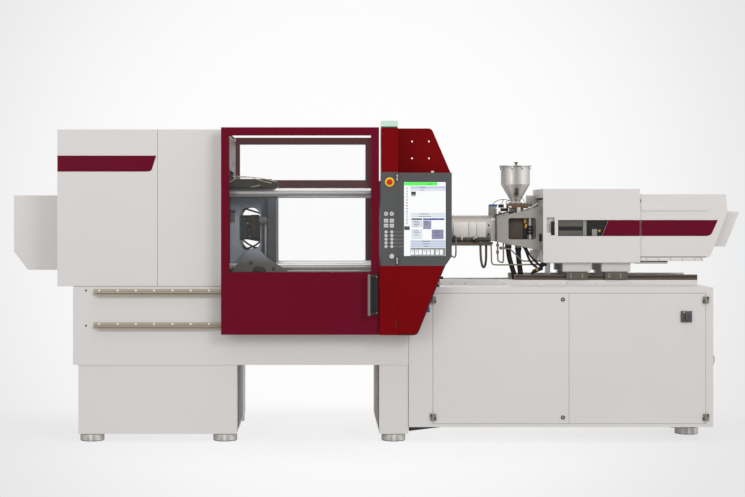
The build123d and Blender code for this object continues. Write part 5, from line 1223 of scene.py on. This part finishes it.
# what is seen through the guard window
bulkheadFittings = {
    "bulkheadFace": ("shadowGrey", "machine", "light_paint",
        (block, (-1.0098, -0.558, 1.784), (-1.0083, 0.558, 2.004)),
        (block, (-1.0098, -0.558, 1.02), (-1.0083, -0.384, 1.784)),
        (block, (-1.0098, 0.384, 1.02), (-1.0083, 0.558, 1.784))),
    "bulkheadBolt": ("sealBlack", "machine", "black_plastic",
        (rod, (-1.0098, 0.1995, 1.841), (-1.0068, 0.1995, 1.841), 0.01, 24)),
}
platenFittings = {
    "ejectorBlock": ("resinBrown", "moving_platen", "casting_paint",
        (block, (-0.8672, -0.1075, 1.3258), (-0.8099, -0.104, 1.4768), 0.001)),
    "ejectorParts": ("motorBlack", "moving_platen", "motor_black",
        (block, (-0.9662, -0.106, 1.3232), (-0.9193, -0.06, 1.4742), 0.002),
        (block, (-0.9193, -0.1, 1.3232), (-0.9011, -0.06, 1.4742), 0.002),
        (block, (-0.9011, -0.106, 1.398), (-0.868, -0.06, 1.4742), 0.002),
        (block, (-0.9011, -0.106, 1.3232), (-0.868, -0.06, 1.369), 0.002)),
    "ejectorGlands": ("brassYellow", "moving_platen", "machined_steel",
        (rod, (-0.8907, -0.11, 1.4169), (-0.8907, -0.105, 1.4169), 0.008, 20, 0.001),
        (rod, (-0.9271, -0.11, 1.3857), (-0.9271, -0.105, 1.3857), 0.0065, 20, 0.001)),
    "ejectorPins": ("machinedSteel", "moving_platen", "machined_steel",
        (rod, (-0.9479, -0.108, 1.4482), (-0.933, -0.108, 1.445), 0.003, 12),
        (rod, (-0.916, -0.103, 1.4482), (-0.902, -0.103, 1.445), 0.003, 12),
        (block, (-0.886, -0.1075, 1.327), (-0.869, -0.1055, 1.331), 0.0005)),
    "platenSlots": ("shadowDark", "moving_platen", "platen_paint",
        (block, (-0.7844, -0.253, 1.2277), (-0.7706, -0.2505, 1.4125), 0.0008),
        (block, (-1.0, -0.26, 1.4895), (-0.963, -0.2505, 1.508), 0.002)),
    # raised strip on the platen's front edge, painted as a highlight
    "platenEdgeHighlight": ("greyLight", "moving_platen", "platen_paint",
        (block, (-0.768, -0.256, 1.1764), (-0.7552, -0.2505, 1.4125), 0.0015)),
    "platenCap": ("baseBronze", "moving_platen", "platen_paint",
        (block, (-0.8091, -0.262, 1.587), (-0.6884, -0.2505, 1.602), 0.002)),
    "platenLedge": ("shadowGrey", "moving_platen", "platen_paint",
        (block, (-0.8091, -0.26, 1.5793), (-0.6884, -0.2505, 1.5868), 0.0015),
        (block, (-1.0, -0.256, 1.4254), (-0.9682, -0.2505, 1.485), 0.002)),
    "platenPlunger": ("shadowGrey", "moving_platen", "platen_paint",
        (rod, (-0.8065, -0.262, 1.4382), (-0.75, -0.262, 1.4382), 0.026, 28, 0.004),
        (rod, (-0.7372, -0.254, 1.4382), (-0.7372, -0.25, 1.4382), 0.011, 20, 0.001)),
}
clampLook = {
    "apron": [(-1.0032, 1.6590), (-0.6784, 1.6590), (-0.6730, 1.6777), (-0.6784, 1.6956),
              (-0.7038, 1.6981), (-0.7242, 1.6956), (-0.7446, 1.7108), (-0.8770, 1.7149),
              (-0.9483, 1.7124), (-0.9737, 1.7007), (-1.0032, 1.6879)],
    "wires": [[(-1.0091, -0.341, 1.6853), (-0.9785, -0.341, 1.7056), (-0.9429, -0.341, 1.7209),
               (-0.8971, -0.341, 1.7275), (-0.8258, -0.341, 1.7245), (-0.7648, -0.341, 1.7158),
               (-0.7139, -0.341, 1.7021), (-0.6833, -0.341, 1.6955)],
              [(-0.9861, -0.342, 1.7326), (-0.9276, -0.342, 1.7326), (-0.8615, -0.342, 1.7275),
               (-0.8106, -0.342, 1.7107), (-0.7648, -0.342, 1.6955), (-0.7190, -0.342, 1.6878)],
              [(-0.8564, -0.341, 1.6600), (-0.8258, -0.341, 1.6664), (-0.7978, -0.341, 1.6726)]],
    "holes": [1.4586, 1.4013, 1.3440],
    "cables": [[(-0.9480, -0.120, 1.3300), (-0.9181, -0.130, 1.3028), (-0.8817, -0.130, 1.2742),
                (-0.8300, -0.120, 1.2480)],
               [(-0.9492, -0.120, 1.3240), (-0.8765, -0.130, 1.3131), (-0.7990, -0.120, 1.2970)],
               [(-0.9240, -0.120, 1.2410), (-0.8817, -0.130, 1.2508), (-0.8505, -0.130, 1.2612),
                (-0.8245, -0.130, 1.2768), (-0.8000, -0.120, 1.2960)],
               [(-0.9180, -0.120, 1.5220), (-0.8661, -0.130, 1.5054), (-0.8050, -0.120, 1.4870)]],
    "boltHoles": [(-0.8576, 1.1558), (-0.7074, 1.1151)],
    "strands": [(1.699, -0.325), (1.684, -0.325), (1.672, -0.325), (1.7125, -0.300),
                (1.7125, -0.280), (1.7125, -0.260)],
    "strandX": (-0.990, -0.720),
    "holeX": -0.8334,
    "wireRadius": 0.0024, "cableRadius": 0.0062,
}


def makeClamp(look):
    apron = plate(look["apron"], -0.3390, -0.3340, 0.0015)
    floorPlate = block((-1.1200, -0.3340, 1.7015), (-0.7000, -0.2150, 1.7045), 0.001)
    tray = dress(join([apron, floorPlate]), "cableBundleFace", "trayDark", "moving_platen")
    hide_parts("cable_tray")
    x0, x1 = look["strandX"]
    strands = [rod((x0, y, z - 0.004), (x1, y, z - 0.006), 0.0080, 12)
               for z, y in look["strands"]]
    dress(join(strands), "cableStrands", "blackRubber", "moving_platen")
    wires("sensorWire", look["wires"], look["wireRadius"], "wireBeige", "moving_platen")
    x = look["holeX"]
    holes = [rod((x, -0.1090, z), (x, -0.1070, z), 0.0062, 16) for z in look["holes"]]
    holes += [rod((x, -0.3356, z), (x, -0.3346, z), 0.0120, 20) for x, z in look["boltHoles"]]
    dress(join(holes), "boltHoles", "sealBlack", "moving_platen")
    wires("ejectorCable", look["cables"], look["cableRadius"], "blackRubber", "moving_platen")


makeFittings(bulkheadFittings)
makeClamp(clampLook)
makeFittings(platenFittings)
print("clamp dressed")

# behind the window of the sliding cover, the slot beside it, and the parts underneath
coverFittings = {
    "gripSlot": ("sealBlack", "injection_cover", "black_plastic",
        (block, (1.1522, -0.2508, 1.3385), (1.178, -0.248, 1.4323), 0.001)),
    "drivePanel": ("shadowGrey", "injection_unit", "motor_black",
        (block, (1.195, -0.237, 1.325), (1.3652, -0.233, 1.45), 0.001)),
    "driveBar": ("sealBlack", "injection_unit", "motor_black",
        (block, (1.195, -0.24, 1.3717), (1.3652, -0.2372, 1.398), 0.002),
        (block, (1.3652, -0.237, 1.325), (1.55, -0.233, 1.45), 0.001)),
    "driveParts": ("greyPlastic", "injection_unit", "motor_black",
        (block, (1.368, -0.239, 1.33), (1.393, -0.2372, 1.448), 0.002),
        (block, (1.43, -0.2385, 1.33), (1.464, -0.2372, 1.38), 0.002)),
    "driveGland": ("brassYellow", "injection_unit", "machined_steel",
        (rod, (1.4794, -0.24, 1.3673), (1.4794, -0.236, 1.3673), 0.0085, 20, 0.001)),
    "coverShelf": ("baseBronze", "injection_unit", "light_paint",
        (block, (1.7285, -0.21, 1.1475), (1.9445, -0.16, 1.164), 0.002)),
}
coverLook = {
    "stripX": (1.7510, 2.1989),
    "stripZ": (1.1660, 1.1955),
    "ticks": [1.7949, 1.8783, 1.9574, 2.0364, 2.1199, 2.1638],
    "screwsX": [1.2894, 1.3670, 1.5477, 1.6253], "screwsZ": [1.0742, 1.0590],
}


def makeCoverDress(look):
    x0, x1 = look["stripX"]
    z0, z1 = look["stripZ"]
    strip = block((x0, -0.2412, z0), (x1 - 0.022, -0.2396, z1 - 0.006), 0.0006)
    dress(strip, "lowerStrip", "lightCoat", "injection_unit")
    # painted shadow line along the top of the strip under the cover's edge, and dark joints across
    # it
    dark = [block((x0, -0.2410, z1 - 0.0058), (x1, -0.2396, z1), 0.0004)]
    dark += [block((x - 0.0012, -0.2418, z0 + 0.003), (x + 0.0012, -0.2410, z1 - 0.008))
             for x in look["ticks"]]
    dress(join(dark), "stripShadowAndJoints", "shadowGrey", "injection_unit")
    screws = [screwHead((x, -0.2225, z), 0.0055, 0.004, 16)
              for z in look["screwsZ"] for x in look["screwsX"]]
    dress(join(screws), "runnerScrews", "machinedSteel", "injection_unit")


makeFittings(coverFittings)
makeCoverDress(coverLook)
print("covers dressed")

# filled joint and folded end of the injection covers
jointLook = {
    "lip": (1.7300, 1.7606),
    "side": (0.2406, 1.1960, 1.6110),
    "endX": (1.1006, 1.1036),
    "endTop": (0.2458, 1.5900, 1.6458),
}


def makeJoint(look):
    x0, x1 = look["lip"]
    outer, z0, z1 = look["side"]
    walls = [block((x0, -outer, z0), (x1, -outer + 0.0022, z1)),
             block((x0, outer - 0.0022, z0), (x1, outer, z1)),
             block((x0, -outer, z1), (x1, outer, z1 + 0.0022))]
    dress(join(walls), "coverLip", "lipCoat", "injection_unit")
    x0, x1 = look["endX"]
    half, z0, z1 = look["endTop"]
    dress(block((x0, -half, z0), (x1, half, z1), 0.0006), "coverEnd", "lightCoat",
          "injection_cover")


makeJoint(jointLook)
print("cover joint filled")

# round levelling feet with a dark pad under each
footLook = {
    "places": [(-1.890, 0.479), (-1.019, 0.479), (0.084, 0.479)],
    "leg": (2.080, 0.169),
    "radius": 0.0785,
}


def makeFeet(look):
    places = [(x, way * y) for x, y in look["places"] for way in (-1, 1)]
    places += [(look["leg"][0], way * look["leg"][1]) for way in (-1, 1)]
    radius = look["radius"]
    bodies = []
    pads = []
    for x, y in places:
        bodies.append(rod((x, y, 0.0035), (x, y, 0.0455), radius, 64, 0.003))
        bodies.append(rod((x, y, 0.0450), (x, y, 0.0499), radius * 0.72, 48, 0.001))
        pads.append(rod((x, y, 0.0002), (x, y, 0.0040), radius - 0.002, 48, 0.0006))
    feet = dress(join(bodies), "feet", "footSilver", "machine")
    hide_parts("levelling_feet")
    dress(join(pads), "footPads", "blackRubber", "machine")


makeFeet(footLook)
print("feet turned")

# folded guard behind the display, cut back where the display's corner is cut
finLook = {
    "outline": [(0.1050, 2.0390), (0.3102, 2.0390), (0.3190, 2.0377), (0.3268, 2.0340),
                (0.3332, 2.0283), (0.3378, 2.0208), (0.4540, 1.7500), (0.4540, 1.2135),
                (0.4095, 1.1480), (0.1050, 1.1480)],
    "inner": [(0.1090, 2.0350), (0.3090, 2.0350), (0.3180, 2.0330), (0.3260, 2.0275),
              (0.3320, 2.0200), (0.4480, 1.7480), (0.4480, 1.2155), (0.4070, 1.1520),
              (0.1090, 1.1520)],
    "front": -0.5450, "back": -0.5210, "sheet": 0.0040,
    "holes": (0.258, 1.899, 0.055, 0.0055),
}


def makeFin(look):
    front = look["front"]
    fin = plate(look["outline"], front, look["back"])
    carve(fin, plate(look["inner"], front + look["sheet"], look["back"] + 0.002))
    x, z, half, radius = look["holes"]
    for hx in (x - half, x + half):
        for hz in (z - half, z + half):
            carve(fin, rod((hx, front - 0.01, hz), (hx, front + 0.02, hz), radius, 32))
    returns = [block((0.1052, -0.5648, 1.754), (0.1090, -0.5452, 2.033)),
               block((0.0740, -0.5648, 1.754), (0.1050, -0.5612, 2.033))]
    fin = dress(join([fin] + returns), "fin", "redCoat", "machine")
    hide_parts("guard_fin")


makeFin(finLook)
print("fin folded")

# hinge leaves, switch plate, lock inserts, side knob and socket guard of the cabinet
cabinetLook = {
    "hinges": [(0.338, -1), (2.111, 1)],
    "hingeHeights": (0.160, 0.923),
    "switch": (1.984, 0.814, 0.0365),
    "dots": [("Yellow", -0.0150, 0.0280, 0.0040), ("Red", 0.0050, 0.0300, 0.0034)],
    "locks": [("door_lock_lower", 0.158), ("door_lock_upper", 0.925)],
    "socket": (2.1612, -0.400, 0.524),
}


def makeCabinetDress(look):
    for name, (x, way) in zip(("Left", "Right"), look["hinges"]):
        door = []
        fixed = []
        for z in look["hingeHeights"]:
            a, b = sorted((x - way * 0.0100, x - way * 0.0195))
            door.append(block((a, -0.5770, z - 0.0215), (b, -0.5652, z - 0.0002), 0.0006))
            a, b = sorted((x + way * 0.0100, x + way * 0.0195))
            fixed.append(block((a, -0.5770, z + 0.0002), (b, -0.5652, z + 0.0215), 0.0006))
        dress(join(door), "hingeLeaf" + name, "lockGrey", "cabinet_door_" + name.lower())
        dress(join(fixed), "hingeFixed" + name, "lockGrey", "machine")
    x, z, half = look["switch"]
    cover = block((x - half, -0.5744, z - half), (x + half, -0.5731, z + half), 0.0004)
    carve(cover, rod((x, -0.58, z), (x, -0.56, z), 0.0235, 48))
    dress(cover, "switchPlate", "switchSlate", "cabinet_door_right")
    for name, dx, dz, radius in look["dots"]:
        dot = rod((x + dx, -0.5752, z + dz), (x + dx, -0.5742, z + dz), radius, 20)
        dress(dot, "switch" + name, "stop" + name, "cabinet_door_right")
    for body, z in look["locks"]:
        insert = rod((1.183, -0.5702, z), (1.183, -0.5696, z), 0.0055, 3)
        dress(insert, body + "Insert", "screwBright", body)
    x, y, z = look["socket"]
    knob = [rod((x - 0.001, -0.500, 0.932), (x + 0.009, -0.500, 0.932), 0.0100, 28, 0.002),
            rod((x + 0.008, -0.500, 0.932), (x + 0.012, -0.500, 0.932), 0.0060, 28, 0.001)]
    dress(join(knob), "sideKnob", "switchSlate", "machine")
    angles = [math.radians(-90 + step * 15) for step in range(13)]
    arc = [(x + 0.0345 * math.cos(angle), z + 0.045 * math.sin(angle)) for angle in angles]
    lid = plate(arc, y - 0.052, y - 0.044, 0.001)
    dress(lid, "socketLid", "insulationWhite", "machine")
    wire("socketRim", [(px, y - 0.048, pz) for px, pz in arc], 0.0042, "stopRed", "machine",
         3)


makeCabinetDress(cabinetLook)
print("cabinet dressed")

# dark sheets of painted shade on the inner faces of the pedestals, seams of the frame and small
# marks
baseFittings = {
    # painted shade on the pedestals' inner faces
    "pedestalShadeSheets": ("innerBrown", "machine", "light_paint",
        (block, (-0.9389, -0.446, 0.072), (-0.9372, 0.152, 0.4975), 0.0004),
        (block, (-0.0118, -0.478, 0.072), (-0.0101, 0.396, 0.4975), 0.0004)),
    "frameSeams": ("sealBlack", "machine", "black_rubber",
        (block, (-1.999, -0.5654, 1.0096), (-1.036, -0.5649, 1.0118)),
        (block, (0.1785, -0.563, 0.0955), (0.1796, -0.55, 0.99))),
    # a dark wedge under the cabinet: painted shade, put in as a thin plate
    "cabinetShadeWedge": ("shadowDark", "machine", "light_paint",
        (plate, [(0.183, 0.0945), (0.183, 0.066), (0.416, 0.0945)], -0.54, -0.5)),
    "bluePlate": ("boxBlue", "machine", "grey_plastic",
        (block, (0.285, -0.5662, 0.842), (0.317, -0.5649, 0.874), 0.0004)),
    "lampFoot": ("lampBase", "machine", "lamp",
        (block, (-0.0005, -0.692, 2.0345), (0.1005, -0.568, 2.043), 0.001)),
    "displayClip": ("lightCoat", "display_unit", "grey_plastic",
        (block, (0.316, -0.69, 1.7462), (0.3345, -0.676, 1.757), 0.001)),
    "footArch": ("sealBlack", "moving_platen", "black_plastic",
        (plate, [(-0.8466, 1.097), (-0.8466, 1.118), (-0.832, 1.1305), (-0.8, 1.133),
         (-0.772, 1.126), (-0.758, 1.108), (-0.757, 1.097)], -0.3356, -0.3346)),
}
baseLook = {
    "screwsX": (-0.0116, -0.0140), "screwsY": -0.191, "screwsZ": [0.3995, 0.3232, 0.2773, 0.1550],
    "bedMarks": [0.4855, 0.5800, 0.8413, 1.0570, 1.2670, 1.4630, 1.7030],
    "markHalf": 0.006,
}


def makeBaseDress(look):
    x0, x1 = look["screwsX"]
    y = look["screwsY"]
    screws = [rod((x0, y, z), (x1, y, z), 0.0065, 16, 0.0008) for z in look["screwsZ"]]
    dress(join(screws), "pedestalScrews", "screwBright", "machine")
    half = look["markHalf"]
    marks = [block((x - half, -0.2156, 1.0135), (x + half, -0.2149, 1.0160))
             for x in look["bedMarks"]]
    dress(join(marks), "bedMarks", "shadowGrey", "machine")


makeFittings(baseFittings)
makeBaseDress(baseLook)
print("base dressed")

# face of the gate box under the hopper
gateFittings = {
    "gateFace": ("resinBrown", "injection_unit", "casting_paint",
        (block, (0.8725, -0.0825, 1.5205), (0.997, -0.076, 1.548), 0.0015),
        (block, (0.997, -0.0815, 1.521), (1.022, -0.0765, 1.534), 0.0015)),
    "gateTag": ("screwBright", "injection_unit", "machined_steel",
        (block, (0.888, -0.084, 1.526), (0.91, -0.0822, 1.535), 0.0005)),
}
makeFittings(gateFittings)
print("gate box faced")
